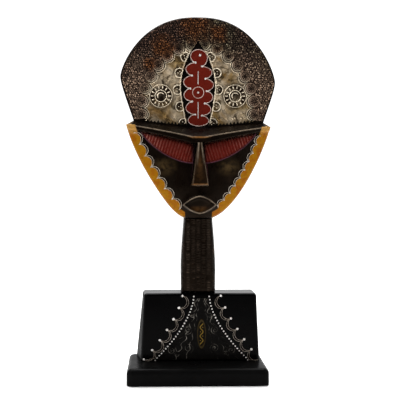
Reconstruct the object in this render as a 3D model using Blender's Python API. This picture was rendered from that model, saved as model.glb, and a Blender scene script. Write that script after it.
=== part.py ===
"""Carved wooden mask with embossed metal sheets on its crown, standing on a block and a plinth.

Metres, +Z up. The mask faces -Y, and +X is on the viewer's right. The origin is on the ground,
in the middle of the whole work. The face, crown and neck are one carved plank with a flat back.
"""

import math

import bmesh
import bpy
from mathutils import Vector
from mathutils.geometry import delaunay_2d_cdt
from mathutils.kdtree import KDTree

GAP = 0.0003

# Plinth
PLINTH_WIDTH = 0.204
PLINTH_DEPTH = 0.100
PLINTH_HEIGHT = 0.0246
PLINTH_ROUND = 0.0070
PLINTH_FOOT_ROUND = 0.0010
PLINTH_SHIFT = -0.003

# Block on the plinth
BLOCK_TOP_WIDTH = 0.1673
BLOCK_FOOT_WIDTH = 0.1768
BLOCK_HEIGHT = 0.1009
BLOCK_DEPTH = 0.044
BLOCK_FRONT = -0.004
BLOCK_ROUND = 0.0040
BLOCK_SHIFT = 0.0029
BLOCK_SPLAY_TOP = 0.0028
BLOCK_SPLAY_FOOT = 0.0085

# Embossed panel on the block's front
PANEL_TOP_HALF = 0.0130
PANEL_FOOT_HALF = 0.0705
PANEL_FLARE = 1.7
PANEL_MARGIN = 0.0025
PANEL_SHIFT = 0.0045
PANEL_THICKNESS = 0.0010
PANEL_RELIEF = 0.0009
CARTOUCHE_HALF_WIDTH = 0.0065
CARTOUCHE_HALF_HEIGHT = 0.0220
CARTOUCHE_HEIGHT = 0.0408
CARTOUCHE_EDGE_SHARE = 0.8
RIB_SHARE = 0.62
RIB_HALF_SHARE = 0.10
RIB_RISE_SHARE = 0.7

# Mask plank: its depths are measured forward from the crown's front plane
CROWN_THICKNESS = 0.020
BACK_INSET = 0.006
EDGE_ROUND = 0.0022
EDGE_DROP = 0.00176

# Neck
NECK_LENGTH = 0.112
NECK_TOP_WIDTH = 0.0424
NECK_FOOT_WIDTH = 0.0508
NECK_SWELL = 0.0018
NECK_SWELL_POWER = 1.2
NECK_RISE = 0.0160
NECK_SIDE_FALL = 0.0070
NECK_SIDE_POWER = 4
CHIN_STEP = 0.0012

# Face
FACE_HEIGHT = 0.137
FACE_WIDTH = 0.215
FACE_CLOSE_BELOW_CHIN = 0.0014
FACE_SIDE_POWER = 1.15
FACE_SIDE_ROOT = 1.7
FACE_LEAN = 0.0017
FACE_LEFT_FLAT = 0.0034
FACE_EDGE_RISE = 0.0120
FACE_DOME_RISE = 0.0120
CHIN_DOME_SHARE = 0.55
CHIN_DOME_HEIGHT = 0.050
BROW_RISE = 0.0050
BROW_STEP = 0.0020
BROW_DIP = 0.0172
BROW_POWER = 1.15
BROW_FLAT_HALF = 0.009
BAND_DIP = 0.0115
BAND_LIFT = 0.0110
BAND_POWER = 1.5
BAND_ROUNDING = 0.85
EYE_BELOW_BROW = 0.0060
EYE_INNER_DROP = 0.0040
EYE_DEPTH = 0.0065
EYE_FOOT_SHARE = 0.35
EYE_WALL = 0.0014
EYE_POWER = 1.75
EYE_ROUNDING = 0.80
EYE_RIDGE_HEIGHT = 0.0010
EYE_RIDGE_PITCH = 0.0047
EYE_RIDGE_MARGIN = 0.0020
EYE_RIDGE_SHORTEST = 0.0040
EYE_RIDGE_LEAN = 0.32
EYE_TIP_X = 0.0860
EYE_INNER_X = 0.0085
EYE_HEIGHT = 0.0285
NOSE_BELOW_BROW = 0.0080
NOSE_LENGTH = 0.063
NOSE_TOP_RISE = 0.0310
NOSE_TIP_RISE = 0.0440
NOSE_TOP_HALF = 0.0030
NOSE_TIP_HALF = 0.0112
NOSE_FLANK = 0.0040
NOSE_END_SHARE = 0.05
NOSE_FOOT_FLANK = 0.0030
MOUTH_WIDTH = 0.048
MOUTH_HEIGHT = 0.025
MOUTH_ABOVE_CHIN = 0.0198
MOUTH_POWER = 1.7
MOUTH_EDGE_LEAN = 0.80
MOUTH_LINE_GROWTH = 1.1
MOUTH_HOLLOW = 0.0022
MOUTH_HOLLOW_REACH = 0.0050
LIP_WIDTH = 0.0024
LIP_RISE = 0.0038
LIP_GROUND_RISE = 0.0015
LIP_GROUND_REACH = 0.010
FEATURE_SHIFT = 0.0015

# Crown
CROWN_HEIGHT = 0.1654
CROWN_WIDTH = 0.234
CROWN_WIDEST = 0.0720
CROWN_LEAN = 0.0045
CROWN_FOOT_HEIGHT = 0.0075
CROWN_SIDE_SLOPE = 0.355
CROWN_SIDE_ROUND = 0.012
CROWN_TOP_POWER = 1.4
CROWN_TOP_ROOT = 2.4
EVEN_STEPS_POWER = 1.1

# Metal sheets on the crown
SHEET_THICKNESS = 0.0010
SHEET_INSET = 0.0026
SHEET_FOOT_INSET = 0.0013
SHEET_RELIEF = 0.0016
BORDER_RELIEF = 0.0008
ARCH_HALF = 0.0840
ARCH_SPRING = 0.0400
ARCH_RISE = 0.0840
ARCH_POWER = 1.45
LOBES_A_SIDE = 8
LOBES_START = 0.107
LOBE_FULLNESS = 0.90
LOBE_STEPS = 12
STRIP_HALF = 0.0250
STRIP_FOOT_HALF = 0.0150
STRIP_WIDEST = 0.0580
STRIP_TIP_OVER_ARCH = 0.0046
STRIP_FOOT_POWER = 1.3
BOSS_RADIUS = 0.0075
BOSS_RIDGE_SHARE = 0.85
BOSS_RIDGE_HALF = 0.0016
BOSS_RISE_SHARE = 0.7
BOSSES_A_SIDE = 5
BOSSES_START = 0.14
BOSSES_END = 0.78
BOSS_OUTSET_SHARE = 0.75
ROSETTE_X = 0.0560
ROSETTE_HEIGHT = 0.0460
ROSETTE_RADIUS = 0.0170
ROSETTE_DOME = 0.0075
ROSETTE_PETALS = 14
ROSETTE_RIM_HALF = 0.0018
PETAL_RISE_SHARE = 0.8
ROSETTE_RIM_RISE_SHARE = 0.7

# Spacing of the points between the carved lines
FACE_SPACING = 0.0058
SHEET_SPACING = 0.0036

# Levels that follow from the sizes
BLOCK_FOOT_Z = PLINTH_HEIGHT + GAP
BLOCK_TOP_Z = BLOCK_FOOT_Z + BLOCK_HEIGHT
NECK_FOOT_Z = BLOCK_TOP_Z + GAP
CHIN_Z = NECK_FOOT_Z + NECK_LENGTH
BROW_Z = CHIN_Z + FACE_HEIGHT
CROWN_TOP_Z = BROW_Z + CROWN_HEIGHT
BACK_Y = BLOCK_FRONT + BLOCK_DEPTH - BACK_INSET
CROWN_FRONT_Y = BACK_Y - CROWN_THICKNESS
ARCH_TOP_Z = BROW_Z + ARCH_SPRING + ARCH_RISE
STRIP_TIP_Z = ARCH_TOP_Z + STRIP_TIP_OVER_ARCH


def clamp(value, low=0.0, high=1.0):
    return max(low, min(high, value))


def eased(value):
    """0 to 1 with level ends."""
    value = clamp(value)
    return value * value * (3 - 2 * value)


def side_of(x):
    return -1.0 if x < 0 else 1.0


# Outline of the plank


def neck_half(z):
    down = clamp((CHIN_Z - z) / NECK_LENGTH)
    width = NECK_TOP_WIDTH + (NECK_FOOT_WIDTH - NECK_TOP_WIDTH) * down
    return width / 2 + NECK_SWELL * math.sin(math.pi * down**NECK_SWELL_POWER)


def brow_corner_z(side):
    return BROW_Z - FACE_LEAN * side


def face_half(z, side=1.0):
    """Half width of the face at a height: a full curve that would close just below the chin."""
    height = brow_corner_z(side) - CHIN_Z
    down = clamp((brow_corner_z(side) - z) / height)
    cut = height / (height + FACE_CLOSE_BELOW_CHIN)
    narrowing = (1 - (down * cut) ** FACE_SIDE_POWER) ** (1 / FACE_SIDE_ROOT)
    chin_share = (1 - cut**FACE_SIDE_POWER) ** (1 / FACE_SIDE_ROOT)
    chin_half = NECK_TOP_WIDTH / 2
    half = chin_half + (FACE_WIDTH / 2 - chin_half) * (narrowing - chin_share) / (1 - chin_share)
    return half if side > 0 else half - FACE_LEFT_FLAT * math.sin(math.pi * down**2)


def crown_half(z, side=1.0):
    """Half width of the crown: a flattened dome above its widest level, a slanted side below."""
    widest_z = BROW_Z + CROWN_WIDEST - CROWN_LEAN * side
    half = CROWN_WIDTH / 2
    if z >= widest_z:
        up = clamp((z - widest_z) / (CROWN_TOP_Z - widest_z))
        return half * (1 - up**CROWN_TOP_POWER) ** (1 / CROWN_TOP_ROOT)
    below = widest_z - z
    return half - CROWN_SIDE_SLOPE * (math.hypot(below, CROWN_SIDE_ROUND) - CROWN_SIDE_ROUND)


def crown_foot_z(side):
    return brow_corner_z(side) + CROWN_FOOT_HEIGHT


def spaced(low, high, count):
    return [low + (high - low) * i / count for i in range(count + 1)]


def plank_side(side):
    """Outline of one side of the plank, from the neck's foot up to just short of the crown's top."""
    points = [(neck_half(z), z) for z in spaced(NECK_FOOT_Z, CHIN_Z, 8)]
    points += [(face_half(z, side), z) for z in spaced(CHIN_Z, brow_corner_z(side), 18)[1:]]
    widest_z = BROW_Z + CROWN_WIDEST - CROWN_LEAN * side
    points += [(crown_half(z, side), z) for z in spaced(crown_foot_z(side), widest_z, 8)]
    steps = 18
    for i in range(1, steps):
        turn = math.pi / 2 * i / steps
        z = widest_z + (CROWN_TOP_Z - widest_z) * math.sin(turn) ** EVEN_STEPS_POWER
        points.append((crown_half(z, side), z))
    return [(side * x, z) for x, z in points]


def plank_outline():
    return plank_side(1.0) + [(0.0, CROWN_TOP_Z)] + plank_side(-1.0)[::-1]


# Lines of the face


def brow_ridge_z(x):
    """Front edge of the brow: level over the nose, rising to the corners."""
    reach = FACE_WIDTH / 2 - BROW_FLAT_HALF
    out = clamp((abs(x) - BROW_FLAT_HALF) / reach)
    return brow_corner_z(side_of(x) * out) - BROW_DIP * (1 - out) ** BROW_POWER


def band_top_z(x):
    """Where the brow band leaves the crown's front plane, just under the metal sheets."""
    out = clamp(abs(x) / (CROWN_WIDTH / 2))
    lift = BAND_LIFT + BROW_DIP - BAND_DIP
    return brow_corner_z(side_of(x) * out) - BROW_DIP + lift + BAND_DIP * out**BAND_POWER


def eye_top_z(x):
    drop = EYE_INNER_DROP * (1 - clamp(abs(x) / EYE_TIP_X))
    return brow_ridge_z(x) - EYE_BELOW_BROW - drop


def eye_foot_z(x):
    """Lower edge of an eye: a full curve from the inner corner up to the outer tip."""
    out = clamp((abs(x) - EYE_INNER_X) / (EYE_TIP_X - EYE_INNER_X))
    tip_z = eye_top_z(EYE_TIP_X * side_of(x))
    inner_z = eye_top_z(EYE_INNER_X) - EYE_HEIGHT
    return tip_z - (tip_z - inner_z) * (1 - out**EYE_POWER) ** EYE_ROUNDING


def eye_inside(x, z):
    """How far a point is inside an eye, in metres, negative outside."""
    if x == 0:
        return -1.0
    return min(eye_top_z(x) - z, z - eye_foot_z(x), abs(x) - EYE_INNER_X, EYE_TIP_X - abs(x))


def eye_phase(x, z):
    """Place across the carved ridges of an eye, which lean outwards at their feet."""
    middle = eye_top_z(EYE_INNER_X) - EYE_HEIGHT / 2
    return (abs(x) + EYE_RIDGE_LEAN * (z - middle)) / EYE_RIDGE_PITCH


def nose_top_z():
    return brow_ridge_z(0.0) - NOSE_BELOW_BROW


def nose_share(z):
    return (nose_top_z() - z) / NOSE_LENGTH


def nose_half(z):
    return NOSE_TOP_HALF + (NOSE_TIP_HALF - NOSE_TOP_HALF) * clamp(nose_share(z))


def nose_rise(x, z):
    """Height of the nose's prism: a widening front facet with steep flanks and a cut-off tip."""
    share = nose_share(z)
    front = NOSE_TOP_RISE + (NOSE_TIP_RISE - NOSE_TOP_RISE) * clamp(share)
    outside = clamp((abs(x - FEATURE_SHIFT) - nose_half(z)) / NOSE_FLANK)
    beyond = clamp(max(share - 1, -share) / NOSE_END_SHARE)
    return front * (1 - outside) * (1 - beyond)


def mouth_z():
    return CHIN_Z + MOUTH_ABOVE_CHIN


def mouth_half(x):
    """Half height of the almond-shaped mouth at a place across it."""
    across = clamp(abs(x - FEATURE_SHIFT) / (MOUTH_WIDTH / 2))
    return MOUTH_HEIGHT / 2 * (1 - across**MOUTH_POWER)


def mouth_offset(x, z):
    """About how far a place is outside the mouth's edge, negative inside."""
    beyond = max(0.0, abs(x - FEATURE_SHIFT) - MOUTH_WIDTH / 2)
    return beyond + (abs(z - mouth_z()) - mouth_half(x)) * MOUTH_EDGE_LEAN


def dome_rise(x, z):
    """Smooth convex ground of the face."""
    across = clamp(abs(x) / face_half(z, side_of(x)))
    up = eased((z - CHIN_Z) / CHIN_DOME_HEIGHT)
    fullness = CHIN_DOME_SHARE + (1 - CHIN_DOME_SHARE) * up
    return FACE_EDGE_RISE + FACE_DOME_RISE * (1 - across**2) * fullness


def neck_rise(x, z):
    across = clamp(abs(x) / neck_half(z))
    return NECK_RISE - NECK_SIDE_FALL * across**NECK_SIDE_POWER


def face_rise(x, z):
    """Height of the carved face forward of the crown's front plane."""
    rise = dome_rise(x, z)
    brow_foot = eye_top_z(x)
    rise += BROW_RISE * eased((z - brow_foot) / BROW_STEP + 0.5)
    inside = eye_inside(x, z)
    if inside > 0:
        up = clamp((z - eye_foot_z(x)) / EYE_HEIGHT)
        depth = EYE_DEPTH * (EYE_FOOT_SHARE + (1 - EYE_FOOT_SHARE) * up)
        wave = abs(eye_phase(x, z) % 1.0 - 0.5) * 2
        rise -= depth * eased(inside / EYE_WALL)
        rise += EYE_RIDGE_HEIGHT * wave * clamp(inside / EYE_RIDGE_MARGIN)
    rise = max(rise, nose_rise(x, z))
    off = mouth_offset(x, z)
    rise += LIP_RISE * (1 - eased(abs(off) / LIP_WIDTH))
    rise += LIP_GROUND_RISE * (1 - eased(off / LIP_GROUND_REACH))
    return rise - MOUTH_HOLLOW * eased(-off / MOUTH_HOLLOW_REACH)


def plank_rise(x, z):
    """Height of the plank's front forward of the crown's front plane."""
    if z < CHIN_Z:
        return neck_rise(x, z)
    band_top = band_top_z(x)
    if z >= band_top:
        return 0.0
    ridge = brow_ridge_z(x)
    if z <= ridge:
        return face_rise(x, z)
    climb = (band_top - z) / (band_top - ridge)
    return face_rise(x, ridge) * climb**BAND_ROUNDING


# Meshes from a front surface


def joined_up(line, closed=False):
    return list(zip(line, line[1:] + line[:1])) if closed else list(zip(line, line[1:]))


def in_polygon(x, z, polygon):
    inside = False
    for (ax, az), (bx, bz) in joined_up(polygon, closed=True):
        if (az > z) != (bz > z) and x < ax + (bx - ax) * (z - az) / (bz - az):
            inside = not inside
    return inside


def place_key(point):
    return (round(point[0], 7), round(point[1], 7))


def triangulated(lines, lattice, keep):
    """Triangles over the kept area. The lines are kept as edges, the lattice fills between them."""
    places = []
    index = {}
    edges = []
    for start, end in lines:
        ends = []
        for point in (start, end):
            key = place_key(point)
            if key not in index:
                index[key] = len(places)
                places.append(Vector(key))
            ends.append(index[key])
        if ends[0] != ends[1]:
            edges.append(tuple(ends))
    places += [Vector(point) for point in lattice]
    verts, _, faces, _, _, _ = delaunay_2d_cdt(places, edges, [], 0, 1e-7)
    kept = []
    for face in faces:
        middle = sum((verts[i] for i in face), Vector((0.0, 0.0))) / len(face)
        if keep(middle.x, middle.y):
            kept.append(face)
    return verts, kept


def hexagonal(low, high, spacing, keep, lines):
    """Points of a hexagonal lattice in the kept area, clear of the lines."""
    marks = []
    for start, end in lines:
        length = math.dist(start, end)
        count = max(1, math.ceil(length / (spacing * 0.5)))
        for i in range(count + 1):
            share = i / count
            marks.append((start[0] + (end[0] - start[0]) * share, start[1] + (end[1] - start[1]) * share))
    tree = KDTree(len(marks))
    for number, mark in enumerate(marks):
        tree.insert((mark[0], mark[1], 0.0), number)
    tree.balance()
    row_height = spacing * math.sqrt(3) / 2
    points = []
    for row in range(math.ceil((high[1] - low[1]) / row_height) + 1):
        z = low[1] + row * row_height
        for column in range(math.ceil((high[0] - low[0]) / spacing) + 1):
            x = low[0] + (column + 0.5 * (row % 2)) * spacing
            if keep(x, z) and tree.find((x, z, 0.0))[2] > spacing * 0.55:
                points.append((x, z))
    return points


def edge_loops(faces):
    """Closed loops of vertex numbers around the kept triangles, in the triangles' own direction."""
    directed = set()
    for face in faces:
        directed.update(joined_up(list(face), closed=True))
    following = {a: b for a, b in directed if (b, a) not in directed}
    loops = []
    while following:
        first = next(iter(following))
        loop = [first]
        step = following.pop(first)
        while step != first:
            loop.append(step)
            step = following.pop(step)
        loops.append(loop)
    return loops


def inset_loop(points, distance):
    """The closed loop moved to its left by a distance, with corners kept sharp."""
    moved = []
    count = len(points)
    for i, here in enumerate(points):
        before = Vector(points[i - 1])
        after = Vector(points[(i + 1) % count])
        into = (Vector(here) - before).normalized()
        out = (after - Vector(here)).normalized()
        normal = Vector((-into.y - out.y, into.x + out.x))
        if normal.length < 1e-6:
            normal = Vector((-into.y, into.x))
        normal.normalize()
        reach = distance / max(0.6, normal.dot(Vector((-into.y, into.x))))
        moved.append((here[0] + normal.x * reach, here[1] + normal.y * reach))
    return moved


def relief_object(name, verts, faces, front_y, back_y, back_round, material):
    """A closed solid: the triangulated front at front_y, plain walls, and a flat back with a chamfer."""
    used = sorted({i for face in faces for i in face})
    mesh = bmesh.new()
    front = {i: mesh.verts.new((verts[i].x, front_y(verts[i].x, verts[i].y), verts[i].y)) for i in used}
    for face in faces:
        mesh.faces.new([front[i] for i in face])
    rims = []
    back = {}
    for loop in edge_loops(faces):
        flat = [(verts[i].x, verts[i].y) for i in loop]
        rings = [[front[i] for i in loop]]
        rim = flat
        if back_round:
            rings.append([mesh.verts.new((x, back_y - back_round, z)) for x, z in flat])
            rim = inset_loop(flat, back_round)
        rings.append([mesh.verts.new((x, back_y, z)) for x, z in rim])
        for upper, lower in zip(rings, rings[1:]):
            for (a, b), (c, d) in zip(joined_up(upper, closed=True), joined_up(lower, closed=True)):
                mesh.faces.new((b, a, c, d))
        back.update(zip(map(place_key, rim), rings[-1]))
        rims.append(rim)

    def behind(x, z):
        return sum(in_polygon(x, z, rim) for rim in rims) % 2 == 1

    cap_lines = [line for rim in rims for line in joined_up(rim, closed=True)]
    cap_verts, cap_faces = triangulated(cap_lines, [], behind)
    for face in cap_faces:
        corners = [back[place_key(cap_verts[i])] for i in face]
        mesh.faces.new(corners[::-1])
    bmesh.ops.recalc_face_normals(mesh, faces=mesh.faces)
    return finished(name, mesh, material)


def finished(name, mesh, material, smooth_angle=0.6):
    data = bpy.data.meshes.new(name)
    mesh.to_mesh(data)
    mesh.free()
    data.shade_smooth()
    data.set_sharp_from_angle(angle=smooth_angle)
    data.materials.append(material)
    obj = bpy.data.objects.new(name, data)
    bpy.context.scene.collection.objects.link(obj)
    return obj


def paint(name, colour, roughness, metallic=0.0):
    material = bpy.data.materials.new(name)
    material.use_nodes = True
    shader = material.node_tree.nodes["Principled BSDF"]
    shader.inputs["Base Color"].default_value = (*colour, 1.0)
    shader.inputs["Roughness"].default_value = roughness
    shader.inputs["Metallic"].default_value = metallic
    return material


# Plank: crown, face and neck in one piece


def line_across(z_at, half, count):
    """A line of edges across the face, following a height rule."""
    return joined_up([(x, z_at(x)) for x in spaced(-half, half, count)])


def eye_lines(side):
    """Edges of one eye's outline, doubled for its wall, and of the crest and foot of each ridge."""
    lines = []
    for inset in (0.0, EYE_WALL):
        inner = EYE_INNER_X + inset
        tip = EYE_TIP_X - 2.5 * inset
        top = [(side * x, eye_top_z(side * x) - inset) for x in spaced(inner, tip, 8)]
        foot = [(side * x, eye_foot_z(side * x) + inset) for x in spaced(inner, tip, 12)]
        lines += joined_up(top + foot[::-1], closed=True)
    count = math.floor(2 * (EYE_TIP_X - EYE_INNER_X) / EYE_RIDGE_PITCH) - 5
    middle = eye_top_z(EYE_INNER_X) - EYE_HEIGHT / 2
    for number in range(1, count):
        phase = math.floor(2 * EYE_INNER_X / EYE_RIDGE_PITCH) / 2 + 0.5 + number / 2
        ends = []
        for share in (0.0, 1.0):
            x = phase * EYE_RIDGE_PITCH
            for _ in range(8):
                foot = eye_foot_z(side * x) + EYE_RIDGE_MARGIN
                top = eye_top_z(side * x) - EYE_RIDGE_MARGIN
                z = foot + (top - foot) * share
                x = phase * EYE_RIDGE_PITCH - EYE_RIDGE_LEAN * (z - middle)
            ends.append((side * x, z))
        long_enough = ends[1][1] - ends[0][1] > EYE_RIDGE_SHORTEST
        if long_enough and EYE_INNER_X + EYE_RIDGE_MARGIN < min(abs(x) for x, z in ends):
            lines.append(tuple(ends))
    return lines


def nose_lines():
    """Edges of the nose: its front facet and the foot of its flanks."""
    top = nose_top_z()
    tip = top - NOSE_LENGTH
    lines = []
    for flank, low in ((0.0, tip), (NOSE_FOOT_FLANK, tip - NOSE_LENGTH * NOSE_END_SHARE)):
        corners = [
            (FEATURE_SHIFT - NOSE_TOP_HALF - flank, top),
            (FEATURE_SHIFT - NOSE_TIP_HALF - flank, low),
            (FEATURE_SHIFT + NOSE_TIP_HALF + flank, low),
            (FEATURE_SHIFT + NOSE_TOP_HALF + flank, top),
        ]
        lines += joined_up(corners, closed=True)
    return lines


def mouth_lines():
    """Edges of the mouth: crest of the lips, foot of the lips inside and outside."""
    lines = []
    for grow in (-LIP_WIDTH, 0.0, LIP_WIDTH):
        half_width = MOUTH_WIDTH / 2 + grow
        count = 10
        upper = []
        lower = []
        for x in spaced(-half_width, half_width, count):
            share = abs(x) / half_width
            height = (MOUTH_HEIGHT / 2 + grow * MOUTH_LINE_GROWTH) * (1 - share**MOUTH_POWER)
            upper.append((FEATURE_SHIFT + x, mouth_z() + height))
            lower.append((FEATURE_SHIFT + x, mouth_z() - height))
        lines += joined_up(upper + lower[-2:0:-1], closed=True)
    return lines


def build_mask(material):
    outline = plank_outline()
    lines = joined_up(outline, closed=True)
    inner = inset_loop(outline, EDGE_ROUND)
    lines += joined_up(inner, closed=True)
    lines += line_across(brow_ridge_z, FACE_WIDTH / 2 - EDGE_ROUND * 1.5, 26)
    lines += line_across(band_top_z, FACE_WIDTH / 2, 26)
    neck_reach = NECK_TOP_WIDTH / 2 - EDGE_ROUND
    for step in (0.0, CHIN_STEP):
        lines += [((-neck_reach, CHIN_Z - step), (neck_reach, CHIN_Z - step))]
    lines += eye_lines(1.0) + eye_lines(-1.0) + nose_lines() + mouth_lines()
    tree = KDTree(len(outline) * 4)
    number = 0
    for start, end in joined_up(outline, closed=True):
        for share in (0.0, 0.25, 0.5, 0.75):
            mark = (start[0] + (end[0] - start[0]) * share, start[1] + (end[1] - start[1]) * share, 0.0)
            tree.insert(mark, number)
            number += 1
    tree.balance()

    def keep(x, z):
        return in_polygon(x, z, outline)

    def carved(x, z):
        return z < band_top_z(x) and keep(x, z)

    low = (-FACE_WIDTH / 2, NECK_FOOT_Z)
    lattice = hexagonal(low, (FACE_WIDTH / 2, CROWN_TOP_Z), FACE_SPACING, carved, lines)
    verts, faces = triangulated(lines, lattice, keep)

    def front_y(x, z):
        from_edge = tree.find((x, z, 0.0))[2]
        drop = EDGE_DROP * (1 - eased(from_edge / EDGE_ROUND))
        return CROWN_FRONT_Y - plank_rise(x, z) + drop

    return relief_object("mask", verts, faces, front_y, BACK_Y, EDGE_ROUND, material)


# Metal sheets on the crown


def arch_line(side, steps=24):
    """The arch on one side, from its foot up to its top on the middle line."""
    points = [(side * ARCH_HALF, BROW_Z)]
    for i in range(steps + 1):
        up = math.sin(math.pi / 2 * i / steps) ** EVEN_STEPS_POWER
        half = ARCH_HALF * math.sqrt(1 - up**ARCH_POWER)
        points.append((side * half, BROW_Z + ARCH_SPRING + ARCH_RISE * up))
    return points


def along(points, count, start, end):
    """Places at even distances along a line, between two shares of its length."""
    lengths = [0.0]
    for a, b in joined_up(points):
        lengths.append(lengths[-1] + math.dist(a, b))
    places = []
    for i in range(count):
        wanted = lengths[-1] * (start + (end - start) * i / (count - 1))
        number = max(n for n in range(len(points) - 1) if lengths[n] <= wanted + 1e-9)
        share = (wanted - lengths[number]) / (lengths[number + 1] - lengths[number])
        a, b = points[number], points[number + 1]
        places.append((a[0] + (b[0] - a[0]) * share, a[1] + (b[1] - a[1]) * share))
    return places


def border_lobes(side):
    """Centres of the lobes that swell into the silver field. The last ends on the middle line."""
    step = (1 - LOBES_START) / (LOBES_A_SIDE - 0.5)
    return along(arch_line(side), LOBES_A_SIDE, LOBES_START, 1 - step / 2)


def scallop_line(side, gap):
    """The border's lobed edge from its foot to the middle line, moved into the field by a gap."""
    lobes = border_lobes(side)
    radius = math.dist(*lobes[:2]) / 2 * LOBE_FULLNESS + gap
    points = [(lobes[0][0] - side * gap, BROW_Z - BROW_DIP)]
    for number, centre in enumerate(lobes):
        before = lobes[max(0, number - 1)]
        after = lobes[min(number + 1, len(lobes) - 1)]
        forward = math.atan2(after[1] - before[1], after[0] - before[0])
        first = math.pi - math.asin(gap / radius)
        last = math.pi - first
        for step in range(LOBE_STEPS + 1):
            turn = forward + side * (first + (last - first) * step / LOBE_STEPS)
            points.append((centre[0] + radius * math.cos(turn), centre[1] + radius * math.sin(turn)))
    return points + [(0.0, points[-1][1])]


def strip_half(z, outset=0.0):
    """Half width of the pointed opening down the middle of the crown."""
    widest_z = BROW_Z + STRIP_WIDEST
    if z >= widest_z:
        up = clamp((z - widest_z) / (STRIP_TIP_Z + outset - widest_z))
        return (STRIP_HALF + outset) * (1 - up**2)
    down = clamp((widest_z - z) / STRIP_WIDEST)
    return STRIP_HALF + outset - (STRIP_HALF - STRIP_FOOT_HALF) * down**STRIP_FOOT_POWER


def strip_line(side, outset=0.0, steps=18):
    heights = spaced(BROW_Z - BROW_DIP, STRIP_TIP_Z + outset, steps)
    return [(side * strip_half(z, outset), z) for z in heights]


def field_outline(side, gap):
    """Closed outline of the silver field on one side, over the strip to the middle line."""
    return scallop_line(side, gap) + [(0.0, BROW_Z - BROW_DIP)]


def strip_outline(outset):
    return strip_line(1.0, outset) + strip_line(-1.0, outset)[::-1]


def crown_edge():
    """The crown's outline moved in by the bare margin, from its right foot over the top."""
    crown = []
    for side in (1.0, -1.0):
        crown.append([p for p in plank_side(side) if p[1] >= crown_foot_z(side)])
    return inset_loop(crown[0] + [(0.0, CROWN_TOP_Z)] + crown[1][::-1], SHEET_INSET)


def circle_line(centre, radius, steps):
    points = []
    for i in range(steps):
        turn = 2 * math.pi * i / steps
        points.append((centre[0] + radius * math.cos(turn), centre[1] + radius * math.sin(turn)))
    return joined_up(points, closed=True)


def sheet_foot_lines():
    reach = CROWN_WIDTH / 2
    return joined_up([(x, band_top_z(x) + SHEET_FOOT_INSET) for x in spaced(-reach, reach, 40)])


def build_border(material):
    """The stippled border: between the crown's edge and the lobed edges of the silver fields."""
    edge = crown_edge()
    strip = strip_outline(GAP)
    fields = [field_outline(side, 0.0) for side in (1.0, -1.0)]

    def keep(x, z):
        if z < band_top_z(x) + SHEET_FOOT_INSET or not in_polygon(x, z, edge):
            return False
        return not any(in_polygon(x, z, outline) for outline in [strip] + fields)

    lines = joined_up(edge, closed=True) + sheet_foot_lines() + joined_up(strip)
    for side in (1.0, -1.0):
        lines += joined_up(scallop_line(side, 0.0))
    verts, faces = triangulated(lines, [], keep)
    back_y = CROWN_FRONT_Y - GAP
    front_y = back_y - SHEET_THICKNESS - BORDER_RELIEF
    return relief_object("crown_border", verts, faces, lambda x, z: front_y, back_y, 0.0, material)


def rosette_centre(side):
    return (side * ROSETTE_X, BROW_Z + ROSETTE_HEIGHT)


def rosette_rise(x, z):
    """Relief of a rosette: a dome, a ring of petals and a rim."""
    side = side_of(x)
    centre = rosette_centre(side)
    radius = math.dist((x, z), centre)
    turn = math.atan2(z - centre[1], x - centre[0])
    dome = math.sqrt(max(0.0, 1 - (radius / ROSETTE_DOME) ** 2))
    petal_ring = (ROSETTE_DOME + ROSETTE_RADIUS) / 2
    width = (ROSETTE_RADIUS - ROSETTE_DOME) / 2
    ring = max(0.0, 1 - ((radius - petal_ring) / width) ** 2)
    petals = 0.5 + 0.5 * math.cos(ROSETTE_PETALS * turn)
    rim = max(0.0, 1 - abs(radius - ROSETTE_RADIUS) / ROSETTE_RIM_HALF)
    return max(dome, ring * petals * PETAL_RISE_SHARE, rim * ROSETTE_RIM_RISE_SHARE)


def boss_centres(side):
    """Centres of the round bosses in the silver field beside the strip."""
    line = strip_line(side, BOSS_RADIUS * BOSS_OUTSET_SHARE)
    return along(line, BOSSES_A_SIDE, BOSSES_START, BOSSES_END)


def plate_rise(x, z):
    """Relief of a silver field: its rosette and the bosses along the strip."""
    rise = rosette_rise(x, z)
    for centre in boss_centres(side_of(x)):
        from_ridge = abs(math.dist((x, z), centre) - BOSS_RADIUS * BOSS_RIDGE_SHARE)
        rise = max(rise, BOSS_RISE_SHARE * (1 - from_ridge / BOSS_RIDGE_HALF))
    return rise


def build_plate(name, side, material):
    """One silver field: inside the border's lobed edge and clear of the strip."""
    field = field_outline(side, GAP)
    strip = strip_outline(2 * GAP)

    def keep(x, z):
        above_foot = z > band_top_z(x) + SHEET_FOOT_INSET
        return above_foot and in_polygon(x, z, field) and not in_polygon(x, z, strip)

    lines = sheet_foot_lines() + joined_up(scallop_line(side, GAP)) + joined_up(strip)
    centre = rosette_centre(side)
    for radius in (ROSETTE_DOME, (ROSETTE_RADIUS + ROSETTE_DOME) / 2, ROSETTE_RADIUS):
        lines += circle_line(centre, radius, 2 * ROSETTE_PETALS)
    low = (-ARCH_HALF, BROW_Z - BROW_DIP)
    high = (ARCH_HALF, ARCH_TOP_Z)
    lattice = hexagonal(low, high, SHEET_SPACING, keep, lines)
    verts, faces = triangulated(lines, lattice, keep)
    back_y = CROWN_FRONT_Y - GAP

    def front_y(x, z):
        return back_y - SHEET_THICKNESS - SHEET_RELIEF * plate_rise(x, z)

    return relief_object(name, verts, faces, front_y, back_y, 0.0, material)


# Block, panel and plinth


def panel_half(z):
    down = clamp((BLOCK_TOP_Z - PANEL_MARGIN - z) / (BLOCK_HEIGHT - 2 * PANEL_MARGIN))
    return PANEL_TOP_HALF + (PANEL_FOOT_HALF - PANEL_TOP_HALF) * down**PANEL_FLARE


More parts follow.
